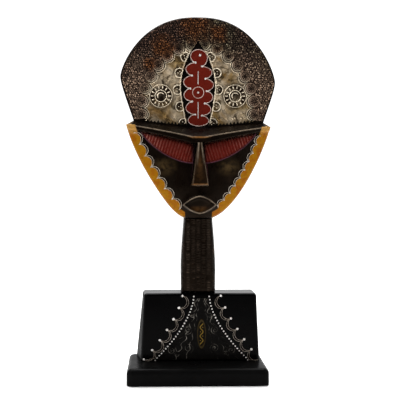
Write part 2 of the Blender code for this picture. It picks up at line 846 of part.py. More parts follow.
def panel_rise(x, z):
    """Relief of the panel: a cartouche on the middle line between curved ribs."""
    across = (x - PANEL_SHIFT) / CARTOUCHE_HALF_WIDTH
    up = (z - BLOCK_FOOT_Z - CARTOUCHE_HEIGHT) / CARTOUCHE_HALF_HEIGHT
    cartouche = 1 - clamp((math.hypot(across, up) - CARTOUCHE_EDGE_SHARE) / (1 - CARTOUCHE_EDGE_SHARE))
    share = abs(x - PANEL_SHIFT) / panel_half(z)
    rib = 1 - clamp(abs(share - RIB_SHARE) / RIB_HALF_SHARE)
    return max(cartouche, RIB_RISE_SHARE * rib)


def build_panel(material):
    top_z = BLOCK_TOP_Z - PANEL_MARGIN - BLOCK_ROUND
    foot_z = BLOCK_FOOT_Z + PANEL_MARGIN

    def keep(x, z):
        return foot_z < z < top_z and abs(x - PANEL_SHIFT) < panel_half(z)

    right = [(PANEL_SHIFT + panel_half(z), z) for z in spaced(foot_z, top_z, 18)]
    left = [(PANEL_SHIFT - panel_half(z), z) for z in spaced(foot_z, top_z, 18)]
    lines = joined_up(right + left[::-1], closed=True)
    low = (PANEL_SHIFT - PANEL_FOOT_HALF, foot_z)
    high = (PANEL_SHIFT + PANEL_FOOT_HALF, top_z)
    lattice = hexagonal(low, high, SHEET_SPACING, keep, lines)
    verts, faces = triangulated(lines, lattice, keep)
    back_y = BLOCK_FRONT - GAP

    def front_y(x, z):
        return back_y - PANEL_THICKNESS - PANEL_RELIEF * panel_rise(x, z)

    return relief_object("base_panel", verts, faces, front_y, back_y, 0.0, material)


def tapered_box(foot_width, top_width, depth, height):
    """A box standing on z = 0 in the middle of x and y, narrowing upwards in x."""
    mesh = bmesh.new()
    corners = []
    for z, width in ((0.0, foot_width), (height, top_width)):
        for x, y in ((-1, -1), (1, -1), (1, 1), (-1, 1)):
            corners.append(mesh.verts.new((x * width / 2, y * depth / 2, z)))
    foot, top = corners[:4], corners[4:]
    mesh.faces.new(foot[::-1])
    mesh.faces.new(top)
    for i in range(4):
        j = (i + 1) % 4
        mesh.faces.new((foot[i], foot[j], top[j], top[i]))
    return mesh


def rounded(mesh, radius, wanted, segments):
    edges = [edge for edge in mesh.edges if wanted(edge)]
    bmesh.ops.bevel(mesh, geom=edges, offset=radius, segments=segments, profile=0.5, affect="EDGES")


def build_block(material):
    mesh = tapered_box(BLOCK_FOOT_WIDTH, BLOCK_TOP_WIDTH, BLOCK_DEPTH, BLOCK_HEIGHT)
    for corner in mesh.verts:
        if corner.co.x < 0 < corner.co.y:
            corner.co.x -= BLOCK_SPLAY_TOP if corner.co.z > 0 else BLOCK_SPLAY_FOOT
    rounded(mesh, BLOCK_ROUND, lambda edge: max(v.co.z for v in edge.verts) > BLOCK_HEIGHT / 2, 4)
    block = finished("base_block", mesh, material)
    block.location = (BLOCK_SHIFT, BLOCK_FRONT + BLOCK_DEPTH / 2, BLOCK_FOOT_Z)
    return block


def build_plinth(material):
    mesh = tapered_box(PLINTH_WIDTH, PLINTH_WIDTH, PLINTH_DEPTH, PLINTH_HEIGHT)
    rounded(mesh, PLINTH_ROUND, lambda edge: max(v.co.z for v in edge.verts) > PLINTH_HEIGHT / 2, 5)
    rounded(mesh, PLINTH_FOOT_ROUND, lambda edge: max(v.co.z for v in edge.verts) < 1e-6, 1)
    plinth = finished("plinth", mesh, material)
    plinth.location = (PLINTH_SHIFT, 0.0, 0.0)
    return plinth


def main():
    for obj in list(bpy.data.objects):
        bpy.data.objects.remove(obj)
    carved_wood = paint("carved_wood", (0.035, 0.022, 0.016), 0.38)
    black_lacquer = paint("black_lacquer", (0.008, 0.008, 0.009), 0.22)
    stippled_metal = paint("stippled_metal", (0.095, 0.055, 0.035), 0.45, 0.8)
    aged_aluminium = paint("aged_aluminium", (0.40, 0.37, 0.30), 0.38, 0.9)
    stained_metal = paint("stained_metal", (0.030, 0.029, 0.028), 0.35, 0.6)
    build_plinth(black_lacquer)
    build_block(black_lacquer)
    build_panel(stained_metal)
    build_mask(carved_wood)
    build_border(stippled_metal)
    build_plate("crown_plate_left", -1.0, aged_aluminium)
    build_plate("crown_plate_right", 1.0, aged_aluminium)


main()
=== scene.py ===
"""Looks of the carved mask on its stand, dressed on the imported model's frame.

Metres, +Z up. The mask faces -Y. The outlines, the carving and the embossing are worked out from
the same named sizes as the solids, on a finer mesh, with the paint marked on the mesh's points.
"""

import math
from functools import cache

import bpy
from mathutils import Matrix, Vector, noise
from mathutils.geometry import delaunay_2d_cdt
from mathutils.kdtree import KDTree


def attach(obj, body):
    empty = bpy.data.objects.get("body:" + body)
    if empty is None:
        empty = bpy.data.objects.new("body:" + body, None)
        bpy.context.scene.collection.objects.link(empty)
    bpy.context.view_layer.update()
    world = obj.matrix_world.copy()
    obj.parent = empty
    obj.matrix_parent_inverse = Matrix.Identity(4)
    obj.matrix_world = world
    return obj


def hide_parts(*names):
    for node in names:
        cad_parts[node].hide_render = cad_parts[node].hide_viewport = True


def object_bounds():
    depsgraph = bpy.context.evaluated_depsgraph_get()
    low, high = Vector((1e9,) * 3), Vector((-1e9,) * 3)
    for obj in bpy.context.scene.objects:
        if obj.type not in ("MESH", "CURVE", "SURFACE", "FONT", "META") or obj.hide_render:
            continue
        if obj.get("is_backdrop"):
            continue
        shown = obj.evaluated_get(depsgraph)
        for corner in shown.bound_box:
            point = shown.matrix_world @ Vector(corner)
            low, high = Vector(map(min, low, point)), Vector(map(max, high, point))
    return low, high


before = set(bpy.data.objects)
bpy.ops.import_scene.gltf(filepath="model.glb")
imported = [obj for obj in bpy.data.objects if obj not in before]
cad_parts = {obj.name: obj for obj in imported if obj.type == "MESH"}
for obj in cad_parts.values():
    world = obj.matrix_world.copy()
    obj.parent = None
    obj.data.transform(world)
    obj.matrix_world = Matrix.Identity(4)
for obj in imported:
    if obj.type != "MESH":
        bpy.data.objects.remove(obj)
cad_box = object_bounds()

GAP = 0.0003

# Plinth and the block on it
PLINTH_HEIGHT = 0.0246
BLOCK_TOP_WIDTH = 0.1673
BLOCK_FOOT_WIDTH = 0.1768
BLOCK_HEIGHT = 0.1009
BLOCK_DEPTH = 0.044
BLOCK_FRONT = -0.004
BLOCK_ROUND = 0.0040
BLOCK_SHIFT = 0.0029

# Embossed panel on the block's front
PANEL_TOP_HALF = 0.0130
PANEL_FOOT_HALF = 0.0705
PANEL_FLARE = 1.7
PANEL_MARGIN = 0.0025
PANEL_SHIFT = 0.0045
PANEL_THICKNESS = 0.0010
CARTOUCHE_HALF_WIDTH = 0.0065
CARTOUCHE_HALF_HEIGHT = 0.0220
CARTOUCHE_HEIGHT = 0.0408

# Mask plank: its depths are measured forward from the crown's front plane
CROWN_THICKNESS = 0.020
BACK_INSET = 0.006
EDGE_ROUND = 0.0022
EDGE_DROP = 0.00176

# Neck
NECK_LENGTH = 0.112
NECK_TOP_WIDTH = 0.0424
NECK_FOOT_WIDTH = 0.0508
NECK_SWELL = 0.0018
NECK_SWELL_POWER = 1.2
NECK_RISE = 0.0160
NECK_SIDE_FALL = 0.0070
NECK_SIDE_POWER = 4

# Face
FACE_HEIGHT = 0.137
FACE_WIDTH = 0.215
FACE_CLOSE_BELOW_CHIN = 0.0014
FACE_SIDE_POWER = 1.15
FACE_SIDE_ROOT = 1.7
FACE_LEAN = 0.0017
FACE_LEFT_FLAT = 0.0034
FACE_EDGE_RISE = 0.0120
FACE_DOME_RISE = 0.0120
CHIN_DOME_SHARE = 0.55
CHIN_DOME_HEIGHT = 0.050
BROW_RISE = 0.0050
BROW_STEP = 0.0020
BROW_DIP = 0.0172
BROW_POWER = 1.15
BROW_FLAT_HALF = 0.009
BAND_DIP = 0.0115
BAND_LIFT = 0.0110
BAND_POWER = 1.5
BAND_ROUNDING = 0.85
EYE_BELOW_BROW = 0.0060
EYE_INNER_DROP = 0.0040
EYE_DEPTH = 0.0065
EYE_FOOT_SHARE = 0.35
EYE_WALL = 0.0014
EYE_POWER = 1.75
EYE_ROUNDING = 0.80
EYE_RIDGE_HEIGHT = 0.0010
EYE_RIDGE_PITCH = 0.0047
EYE_RIDGE_MARGIN = 0.0020
EYE_RIDGE_SHORTEST = 0.0040
EYE_RIDGE_LEAN = 0.32
EYE_TIP_X = 0.0860
EYE_INNER_X = 0.0085
EYE_HEIGHT = 0.0285
NOSE_BELOW_BROW = 0.0080
NOSE_LENGTH = 0.063
NOSE_TOP_RISE = 0.0310
NOSE_TIP_RISE = 0.0440
NOSE_TOP_HALF = 0.0030
NOSE_TIP_HALF = 0.0112
NOSE_FLANK = 0.0040
NOSE_END_SHARE = 0.05
NOSE_FOOT_FLANK = 0.0030
MOUTH_WIDTH = 0.048
MOUTH_HEIGHT = 0.025
MOUTH_ABOVE_CHIN = 0.0198
MOUTH_POWER = 1.7
MOUTH_EDGE_LEAN = 0.80
MOUTH_HOLLOW = 0.0022
MOUTH_HOLLOW_REACH = 0.0050
LIP_WIDTH = 0.0024
LIP_RISE = 0.0038
LIP_GROUND_RISE = 0.0015
LIP_GROUND_REACH = 0.010
FEATURE_SHIFT = 0.0015

# Crown
CROWN_HEIGHT = 0.1654
CROWN_WIDTH = 0.234
CROWN_WIDEST = 0.0720
CROWN_LEAN = 0.0045
CROWN_FOOT_HEIGHT = 0.0075
CROWN_SIDE_SLOPE = 0.355
CROWN_SIDE_ROUND = 0.012
CROWN_TOP_POWER = 1.4
CROWN_TOP_ROOT = 2.4
EVEN_STEPS_POWER = 1.1

# Metal sheets on the crown
SHEET_THICKNESS = 0.0010
SHEET_INSET = 0.0026
SHEET_FOOT_INSET = 0.0013
ARCH_HALF = 0.0840
ARCH_SPRING = 0.0400
ARCH_RISE = 0.0840
ARCH_POWER = 1.45
LOBES_A_SIDE = 8
LOBES_START = 0.107
LOBE_FULLNESS = 0.90
LOBE_STEPS = 12
STRIP_HALF = 0.0250
STRIP_FOOT_HALF = 0.0150
STRIP_WIDEST = 0.0580
STRIP_TIP_OVER_ARCH = 0.0046
STRIP_FOOT_POWER = 1.3
BOSS_RADIUS = 0.0075
BOSSES_A_SIDE = 5
BOSSES_START = 0.14
BOSSES_END = 0.78
BOSS_OUTSET_SHARE = 0.75
ROSETTE_X = 0.0560
ROSETTE_HEIGHT = 0.0460
ROSETTE_RADIUS = 0.0170
ROSETTE_DOME = 0.0075
ROSETTE_PETALS = 14

# Levels that follow from the sizes
BLOCK_FOOT_Z = PLINTH_HEIGHT + GAP
BLOCK_TOP_Z = BLOCK_FOOT_Z + BLOCK_HEIGHT
NECK_FOOT_Z = BLOCK_TOP_Z + GAP
CHIN_Z = NECK_FOOT_Z + NECK_LENGTH
BROW_Z = CHIN_Z + FACE_HEIGHT
CROWN_TOP_Z = BROW_Z + CROWN_HEIGHT
BACK_Y = BLOCK_FRONT + BLOCK_DEPTH - BACK_INSET
CROWN_FRONT_Y = BACK_Y - CROWN_THICKNESS
ARCH_TOP_Z = BROW_Z + ARCH_SPRING + ARCH_RISE
STRIP_TIP_Z = ARCH_TOP_Z + STRIP_TIP_OVER_ARCH

# Finer sizes, for the looks alone
MASK_SPACING = 0.00085
BORDER_SPACING = 0.00060
PLATE_SPACING = 0.00060
PANEL_SPACING = 0.00060
NECK_CUT_WIDTH = 0.0078
NECK_CUT_PITCH = 0.00375
NECK_CUT_DEPTH = 0.0011
NECK_CUTS_LEFT_OUT = 0.15
EYE_GROOVE_DEPTH = 0.0005
EYE_SHADE_TOP = 0.0060
EYE_SHADE_INNER = 0.0070
RIM_WIDTH = 0.0085
RIM_LOBES = {-1.0: 7, 1.0: 9}
RIM_LOBES_START = 0.150
RIM_LOBES_END = 0.860
RIM_LOBE_RADII = {-1.0: 0.0102, 1.0: 0.0086}
RIM_LOBE_INSETS = {-1.0: 0.0046, 1.0: 0.0058}
RIM_BOX_WIDTH = 0.0130
RIM_BOX_HEIGHT = 0.0165
CHEEK_X = 0.0475
CHEEK_SHIFT = -0.0030
CHEEK_ABOVE_CHIN = 0.0760
FIGURE_NOTCHES = 5
FIGURE_SHIFT = 0.0009
FIGURE_TOP = 0.1163
FIGURE_FOOT = 0.0010
FIGURE_LEFT_NOTCHES = (0.0967, 0.0184)
FIGURE_RIGHT_NOTCHES = (0.0909, 0.0167)
STIPPLE_PITCH = 0.0034
TOOTH_HEIGHT = 0.0042
TOOTH_PITCH = 0.0052
VINE_PITCH = 0.0130
VINE_SWAY = 0.0021
VINE_LENGTH = 0.0310
BUD_RADIUS = 0.0009
CARTOUCHE_RIM_SHINE = 0.45
BORDER_HEIGHT = 0.0009
PLATE_HEIGHT = 0.0013
PANEL_HEIGHT = 0.0008
SMALL_DOTS = 25
SMALL_DOT_RADIUS = 0.00115
BIG_DOTS = 7
BIG_DOT_RADIUS = 0.0019
BIG_DOT_OFFSET = 0.0182
BIG_DOT_BOWS = {-1.0: 0.18, 1.0: 0.34}
SWAG_OUTER = 0.0120
SWAG_INNER = 0.0090
SMALL_DOT_INSET = 0.0016
FIGURE_ARM = 0.0050
FIGURE_REACH_SHARE = 0.92
FIGURE_LOBE_ROUNDING = 0.56
LINE_RADIUS = 0.00032
RIM_ARC_BEYOND = 0.0033

# Steps along lines
NECK_STEPS = 32
FACE_STEPS = 72
CROWN_SIDE_STEPS = 32
CROWN_TOP_STEPS = 72
ARCH_STEPS = 96
STRIP_STEPS = 72
CROSS_LINE_STEPS = 104
FACE_EDGE_STEPS = 60
SHEET_FOOT_STEPS = 40
PANEL_EDGE_STEPS = 72
BASE_LINE_STEPS = 40
FIGURE_LOBE_STEPS = 14
BOW_STEPS = 20
EYE_TOP_STEPS = 8
EYE_FOOT_STEPS = 12

# Meshing
PLACE_DIGITS = 7
SAME_PLACE = 1e-7
LENGTH_SLACK = 1e-9
NO_LENGTH = 1e-6
LINE_MARK_SHARE = 0.5
LATTICE_CLEAR_SHARE = 0.55
MARKS_A_STEP = 4
SHARPEST_CORNER = 0.6
SMOOTH_ANGLE = 0.9
SCATTER_FACTORS = (12.9898, 78.233, 37.719)
SCATTER_SCALE = 43758.5453
PAINT_DEPTH = 0.004
PAINT_EDGE_SHARE = 1.1
LINE_THICKNESS_SHARES = (0.85, 1.15)
DROP_SIZE_SHARES = (0.92, 1.08)

# Finer carving: the hand work has a height, waves in a metre across and up, and a layer of noise
HAND_WORK = [(0.00022, 70, 55, 0.0), (0.00008, 260, 210, 3.0)]
CHIN_LINE_STEP = 0.0008
NECK_CUT_HALF_SHARES = (0.36, 0.50)
NECK_CUT_DEPTH_SHARES = (0.6, 1.0)
NECK_CUT_WANDER = 0.12
NECK_CUT_HALF_HEIGHT_SHARE = 0.30
EYE_TIP_INSET_SHARE = 2.5
EYE_TIP_LINES_LEFT_OUT = 5
EYE_LEAN_ROUNDS = 8
EYE_GROOVE_MARGIN = 0.0030
EYE_GROOVE_WIDTH = 0.38

# Paint, wear and painted highlights on the face: strengths from 0 to 1, the rest in metres
RIM_ABOVE_CHIN = 0.0005
RIM_OVER_BROW = 0.0015
RIM_MOUTH_CLEAR = 0.004
RIM_NECK_LAP = 0.001
RIM_BLUR = 0.0006
EYE_BLUR = 0.0008
LID_DROP = 0.0004
LID_HALF = 0.0011
CHEEK_GLOW_ACROSS = 0.022
CHEEK_GLOW_UP = 0.017
GLOW_POWER = 1.3
BROW_RUB = 0.95
BROW_RUB_DROP = 0.0007
BROW_RUB_HALF = 0.0016
BROW_RUB_REACH = 0.010
NOSE_RUB = 0.16
NOSE_TIP_RUB = 0.80
NOSE_TIP_RUB_HALF = 0.0012
MOUTH_RUB = 0.20
MOUTH_RUB_INSET = 0.001
MOUTH_RUB_DROP = 0.0005
MOUTH_RUB_FADE = 0.0050
MOUTH_RUB_REACH = 0.013
WEAR_AND_HIGHLIGHT_HALF = 0.0010
BROW_WEAR_AND_HIGHLIGHT_DROP = 0.0002
BROW_WEAR_AND_HIGHLIGHT_START = 0.012
LIP_WEAR_AND_HIGHLIGHT = 0.80
EYE_WEAR_AND_HIGHLIGHT_START = 0.050
EYE_WEAR_AND_HIGHLIGHT_FADE = 0.025
NECK_WEAR_AND_HIGHLIGHT_DROP_SHARE = 0.30

# Wear lines and painted highlights down the nose: strength, share of its half width, half width of the
# line, kind
NOSE_WEAR_AND_HIGHLIGHT = [
    (0.62, -0.62, 0.0020, "fading"),
    (0.55, 0.72, 0.0014, "fading"),
    (0.36, 1.00, 0.0010, "patchy"),
    (0.16, -1.00, 0.0010, "even"),
]

# Embossing of the sheets. Rings of a lobe: height, inset, half width. Of a boss: height, share, half
STIPPLE_WANDER = 0.55
STIPPLE_RING_SIZE = 0.62
STIPPLE_RING_SHARE = 0.30
STIPPLE_RING_HALF = 0.00055
STIPPLE_DOT_SHARES = (0.30, 0.54)
LOBE_RINGS = [(1.0, 0.0012, 0.0011), (0.8, 0.0036, 0.0008)]
LOBE_SPOKES = 7
LOBE_SPOKE_SHARE = 0.36
LOBE_SPOKE_HALF = 0.0018
ROSETTE_SWIRL_RADIUS = ROSETTE_DOME * 0.66
ROSETTE_SWIRL_HALF = 0.0013
ROSETTE_RING_BEYOND = 0.0012
ROSETTE_RING_HALF = 0.0011
ROSETTE_RIM_HALF = 0.0010
PETAL_OUTSET = 0.0006
PETAL_HALF = 0.0036
BOSS_RINGS = [(1.1, 0.92, 0.0012), (0.55, 0.60, 0.0009)]
BOSS_SEEDS = 3
BOSS_SEED_HALF = 0.0014
PLATE_RIM_INSET = 0.0013
PLATE_RIM_WANDER = 0.0007
PLATE_RIM_HALF = 0.0012
PLATE_EDGE_HALF = 0.0011
FRINGE_PITCH = 0.0042
FRINGE_HEIGHT = 0.0095
FRINGE_HALF = 0.0030
TOOTH_HEIGHT_SHARES = (0.55, 1.0)
TOOTH_BLUR = 0.25
DENT_HEIGHT = 0.0007
DENT_DEPTH = 0.0006
DENT_FADE = 0.004
PATINA_AND_SHADE_EDGE_REACH = 0.0060
PATINA_AND_SHADE_FOOT_REACH = 0.022
BARE_AND_HIGHLIGHT_HEIGHT = 0.142
BARE_AND_HIGHLIGHT_FADE = 0.050
CARTOUCHE_FIELD_SHARE = 0.8
CARTOUCHE_RIM_SHARE = 0.92
VINE_HALF = 0.00085
PANEL_LINE_HALF = 0.0009
PANEL_FRINGE_HALF = 0.0035
PANEL_FRINGE_PITCH = 0.0062
SCROLL_HALF = 0.0007

# Raised paint
STRIP_GROUND_REACH = 0.0025
STRIP_GROUND_DROP = 0.004
FIGURE_NOTCH_SHARES = (0.27, 0.50)
FIGURE_RING_ASIDE = 0.0005
FIGURE_RING_HEIGHT = 0.0515
FIGURE_RING_RADIUS = 0.0085
FIGURE_STEM_ASIDE = 0.0006
FIGURE_STEMS = [(0.0125, 0.0375), (0.0640, 0.0835)]
FIGURE_EYE_ASIDE = 0.0022
FIGURE_EYE_DROP = 0.0085
FIGURE_LINE_RADIUS = 0.00058
FIGURE_ARM_RADIUS = 0.00090
FIGURE_STEM_RADIUS = 0.00055
FIGURE_DOT_RADIUS = 0.0017
FIGURE_DOT_HEIGHT = 0.0010
RIM_LINE_LIFT = 0.0001
RIM_LINES = [("rim_outer_lines", RIM_ARC_BEYOND, 1.15), ("rim_inner_lines", LINE_RADIUS, 0.8)]
SWAG_TOP_DROP = 0.0036
SWAG_FOOT_RISE = 0.0025
SWAG_CLEAR = 0.0006
SWAG_EDGE_CLEAR = 0.001
SWAG_PANEL_CLEAR = 0.0002
SWAG_FEWEST_POINTS = 4
BIG_DOT_HEIGHT = 0.0011
SMALL_DOT_HEIGHT = 0.0008
SMALL_DOT_TOP_DROP = 0.0006
SMALL_DOT_FOOT_RISE = 0.0014

# Places of the panel's scrolls: share of its half width, share of its height, radius
SCROLLS = [
    (0.62, 0.66, 0.0040),
    (0.60, 0.44, 0.0065),
    (0.36, 0.17, 0.0075),
    (0.78, 0.14, 0.0070),
    (0.58, 0.08, 0.0045),
]

# The panel's tendrils: share of its half width, sway
TENDRILS = [(0.58, 0.0022), (0.34, 0.0012)]

# Rust clouds on the border: place across, height, reach
RUST_PLACES = [
    (-0.0527, 0.4937, 0.024),
    (-0.0040, 0.5260, 0.030),
    (-0.0720, 0.4700, 0.014),
    (0.0300, 0.5150, 0.018),
]

# Wood, its paint, its wear and the highlights painted on it
WOOD_DARK = (0.0012, 0.0007, 0.0005)
WOOD_BROWN = (0.0052, 0.0028, 0.0017)
WOOD_CLOUD = (0.0120, 0.0070, 0.0042)
WOOD_WEAR_AND_HIGHLIGHT = (0.0950, 0.0640, 0.0450)
WARM_SHEEN = (1.0, 0.76, 0.56)
STRIP_BLACK = (0.0018, 0.0015, 0.0015)
CHEEK_BRONZE_AND_HIGHLIGHT = (0.080, 0.050, 0.020)
RUBBED_COPPER = (0.420, 0.185, 0.055)
PALE_WEAR_AND_HIGHLIGHT = (0.520, 0.400, 0.285)
OCHRE_BRIGHT = (0.330, 0.138, 0.004)
OCHRE_DEEP = (0.290, 0.088, 0.003)
OCHRE_SPECK = (0.170, 0.062, 0.010)
OCHRE_CORNER = (0.560, 0.330, 0.110)
OCHRE_CORNER_FADE = (BROW_Z - 0.016, BROW_Z - 0.004)
EYE_RED_DARK = (0.088, 0.0066, 0.0042)
EYE_RED = (0.150, 0.0125, 0.0078)
EYE_WEAR_AND_HIGHLIGHT = (0.520, 0.210, 0.170)
LID_VIOLET = (0.130, 0.050, 0.075)
FIGURE_RED_DARK = (0.100, 0.0085, 0.0045)
FIGURE_RED = (0.160, 0.0150, 0.0085)

# Metal sheets
BORDER_DARK = (0.0075, 0.0045, 0.0036)
BORDER_DARK_BARE_AND_HIGHLIGHT = (0.0300, 0.0180, 0.0120)
BORDER_DARK_RUST = (0.0200, 0.0070, 0.0032)
BORDER_BROWN = (0.120, 0.066, 0.046)
BORDER_OLIVE = (0.130, 0.105, 0.062)
BORDER_BARE_AND_HIGHLIGHT = (0.420, 0.280, 0.190)
BORDER_RUST = (0.210, 0.078, 0.026)
GLINT_BROWN = (0.420, 0.290, 0.210)
GLINT_OLIVE = (0.520, 0.470, 0.330)
GLINT_BARE_AND_HIGHLIGHT = (0.780, 0.620, 0.460)
GLINT_RUST = (0.400, 0.190, 0.080)
LOBE_LINE = (0.700, 0.600, 0.450)
SHEET_TAN = (0.360, 0.205, 0.064)
SHEET_SAND = (0.430, 0.290, 0.120)
SHEET_PALE = (0.820, 0.660, 0.460)
SHEET_STAIN = (0.085, 0.055, 0.026)
SHEET_PATINA_AND_SHADE = (0.018, 0.011, 0.006)
SHEET_BRIGHT = (0.950, 0.820, 0.620)
TOOTH_BLACK = (0.006, 0.005, 0.004)
PANEL_BLACK = (0.0008, 0.0007, 0.0007)
PANEL_BROWN = (0.0036, 0.0028, 0.0021)
PANEL_LINE_DARK = (0.160, 0.138, 0.108)
PANEL_LINE_PALE = (0.330, 0.310, 0.275)
BRASS = (0.215, 0.135, 0.022)

# Lacquers: specular level, dark and pale colour, least and most roughness
GLOSS_LACQUER = (0.030, (0.0004, 0.0004, 0.0005), (0.0012, 0.0010, 0.0010), 0.12, 0.22)
SATIN_LACQUER = (0.016, (0.0022, 0.0022, 0.0022), (0.0042, 0.0040, 0.0039), 0.26, 0.36)
SIDE_HAZE = 0.40

# Paints in lines and drops: name, low and high colour, metallic value
PAINTS = [
    ("silver_line_paint", (0.420, 0.360, 0.280), (0.740, 0.660, 0.560), 0.2),
    ("bronze_line_paint", (0.200, 0.160, 0.125), (0.420, 0.360, 0.300), 0.3),
    ("white_drop_paint", (0.680, 0.630, 0.580), (0.900, 0.870, 0.840), 0.0),
    ("pink_line_paint", (0.520, 0.330, 0.270), (0.820, 0.660, 0.590), 0.0),
]

# Stage
FLOOR_HALF = 1.8
FLOOR_FADE = (-0.75, -0.16)
FLOOR_GREY = (0.34, 0.34, 0.34)
FLOOR_PALE = (0.90, 0.90, 0.90)
FLOOR_PALER = (0.93, 0.93, 0.93)
WORLD_FALL = {"From Min": -0.3, "From Max": 0.75, "To Min": 0.07, "To Max": 1.35}
CAMERA_PLACE = (-0.0572, -1.0, 0.2797)
CAMERA_YAW = 1.2
CAMERA_PITCH = 0.853
CAMERA_LENS = 60.444
CAMERA_SHIFT = 0.0648

# Lights: name, place, aim, width, height, power
LIGHTS = [
    ("key", (-0.80, -1.0, 1.20), (0.0, 0.0, 0.36), 0.5, 0.5, 9.0),
    ("fill", (0.95, -1.0, 0.80), (0.0, 0.0, 0.30), 0.4, 0.8, 5.0),
    ("top", (0.0, 0.45, 1.70), (0.0, 0.10, 0.0), 1.4, 1.0, 62.0),
]


def clamp(value, low=0.0, high=1.0):
    return max(low, min(high, value))


def eased(value):
    """0 to 1 with level ends."""
    value = clamp(value)
    return value * value * (3 - 2 * value)


def ridge(away, half=1.0):
    """A rounded raised line, by the distance from its middle."""
    return max(0.0, 1 - (away / half) ** 2)


def ranged(limits, share):
    """The value at a share of the way between two limits."""
    return limits[0] + (limits[1] - limits[0]) * share


def part_way(a, b, share):
    return (a[0] + (b[0] - a[0]) * share, a[1] + (b[1] - a[1]) * share)


def side_of(x):
    return -1.0 if x < 0 else 1.0


# Outline of the plank


def neck_half(z):
    down = clamp((CHIN_Z - z) / NECK_LENGTH)
    width = NECK_TOP_WIDTH + (NECK_FOOT_WIDTH - NECK_TOP_WIDTH) * down
    return width / 2 + NECK_SWELL * math.sin(math.pi * down**NECK_SWELL_POWER)


def brow_corner_z(side):
    return BROW_Z - FACE_LEAN * side


def face_half(z, side=1.0):
    """Half width of the face at a height: a full curve that would close just below the chin."""
    height = brow_corner_z(side) - CHIN_Z
    down = clamp((brow_corner_z(side) - z) / height)
    cut = height / (height + FACE_CLOSE_BELOW_CHIN)
    narrowing = (1 - (down * cut) ** FACE_SIDE_POWER) ** (1 / FACE_SIDE_ROOT)
    chin_share = (1 - cut**FACE_SIDE_POWER) ** (1 / FACE_SIDE_ROOT)
    chin_half = NECK_TOP_WIDTH / 2
    half = chin_half + (FACE_WIDTH / 2 - chin_half) * (narrowing - chin_share) / (1 - chin_share)
    return half if side > 0 else half - FACE_LEFT_FLAT * math.sin(math.pi * down**2)


def crown_widest_z(side):
    return BROW_Z + CROWN_WIDEST - CROWN_LEAN * side


def crown_half(z, side=1.0):
    """Half width of the crown: a flattened dome above its widest level, a slanted side below."""
    widest_z = crown_widest_z(side)
    half = CROWN_WIDTH / 2
    if z >= widest_z:
        up = clamp((z - widest_z) / (CROWN_TOP_Z - widest_z))
        return half * (1 - up**CROWN_TOP_POWER) ** (1 / CROWN_TOP_ROOT)
    below = widest_z - z
    return half - CROWN_SIDE_SLOPE * (math.hypot(below, CROWN_SIDE_ROUND) - CROWN_SIDE_ROUND)


def crown_foot_z(side):
    return brow_corner_z(side) + CROWN_FOOT_HEIGHT


def spaced(low, high, count):
    return [low + (high - low) * i / count for i in range(count + 1)]


def plank_side(side):
    """Outline of one side of the plank, from the neck's foot up to just short of the crown's top."""
    widest_z = crown_widest_z(side)
    points = [(neck_half(z), z) for z in spaced(NECK_FOOT_Z, CHIN_Z, NECK_STEPS)]
    points += [(face_half(z, side), z) for z in spaced(CHIN_Z, brow_corner_z(side), FACE_STEPS)[1:]]
    points += [(crown_half(z, side), z) for z in spaced(crown_foot_z(side), widest_z, CROWN_SIDE_STEPS)]
    for i in range(1, CROWN_TOP_STEPS):
        up = math.sin(math.pi / 2 * i / CROWN_TOP_STEPS) ** EVEN_STEPS_POWER
        z = widest_z + (CROWN_TOP_Z - widest_z) * up
        points.append((crown_half(z, side), z))
    return [(side * x, z) for x, z in points]


def plank_outline():
    return plank_side(1.0) + [(0.0, CROWN_TOP_Z)] + plank_side(-1.0)[::-1]


# Lines of the face


def brow_ridge_z(x):
    """Front edge of the brow: level over the nose, rising to the corners."""
    reach = FACE_WIDTH / 2 - BROW_FLAT_HALF
    out = clamp((abs(x) - BROW_FLAT_HALF) / reach)
    return brow_corner_z(side_of(x) * out) - BROW_DIP * (1 - out) ** BROW_POWER


def band_top_z(x):
    """Where the brow band leaves the crown's front plane, just under the metal sheets."""
    out = clamp(abs(x) / (CROWN_WIDTH / 2))
    lift = BAND_LIFT + BROW_DIP - BAND_DIP
    return brow_corner_z(side_of(x) * out) - BROW_DIP + lift + BAND_DIP * out**BAND_POWER


def eye_top_z(x):
    drop = EYE_INNER_DROP * (1 - clamp(abs(x) / EYE_TIP_X))
    return brow_ridge_z(x) - EYE_BELOW_BROW - drop


def eye_foot_z(x):
    """Lower edge of an eye: a full curve from the inner corner up to the outer tip."""
    out = clamp((abs(x) - EYE_INNER_X) / (EYE_TIP_X - EYE_INNER_X))
    tip_z = eye_top_z(EYE_TIP_X * side_of(x))
    inner_z = eye_top_z(EYE_INNER_X) - EYE_HEIGHT
    return tip_z - (tip_z - inner_z) * (1 - out**EYE_POWER) ** EYE_ROUNDING


def eye_inside(x, z):
    """How far a point is inside an eye, in metres, negative outside."""
    if x == 0:
        return -1.0
    return min(eye_top_z(x) - z, z - eye_foot_z(x), abs(x) - EYE_INNER_X, EYE_TIP_X - abs(x))


def eye_phase(x, z):
    """Place across the carved ridges of an eye, which lean outwards at their feet."""
    middle = eye_top_z(EYE_INNER_X) - EYE_HEIGHT / 2
    return (abs(x) + EYE_RIDGE_LEAN * (z - middle)) / EYE_RIDGE_PITCH


def eye_crest(x, z):
    """1 on the crest of a carved ridge, 0 in the groove between two."""
    return abs(eye_phase(x, z) % 1.0 - 0.5) * 2


def nose_top_z():
    return brow_ridge_z(0.0) - NOSE_BELOW_BROW


def nose_share(z):
    return (nose_top_z() - z) / NOSE_LENGTH


def nose_half(z):
    return NOSE_TOP_HALF + (NOSE_TIP_HALF - NOSE_TOP_HALF) * clamp(nose_share(z))


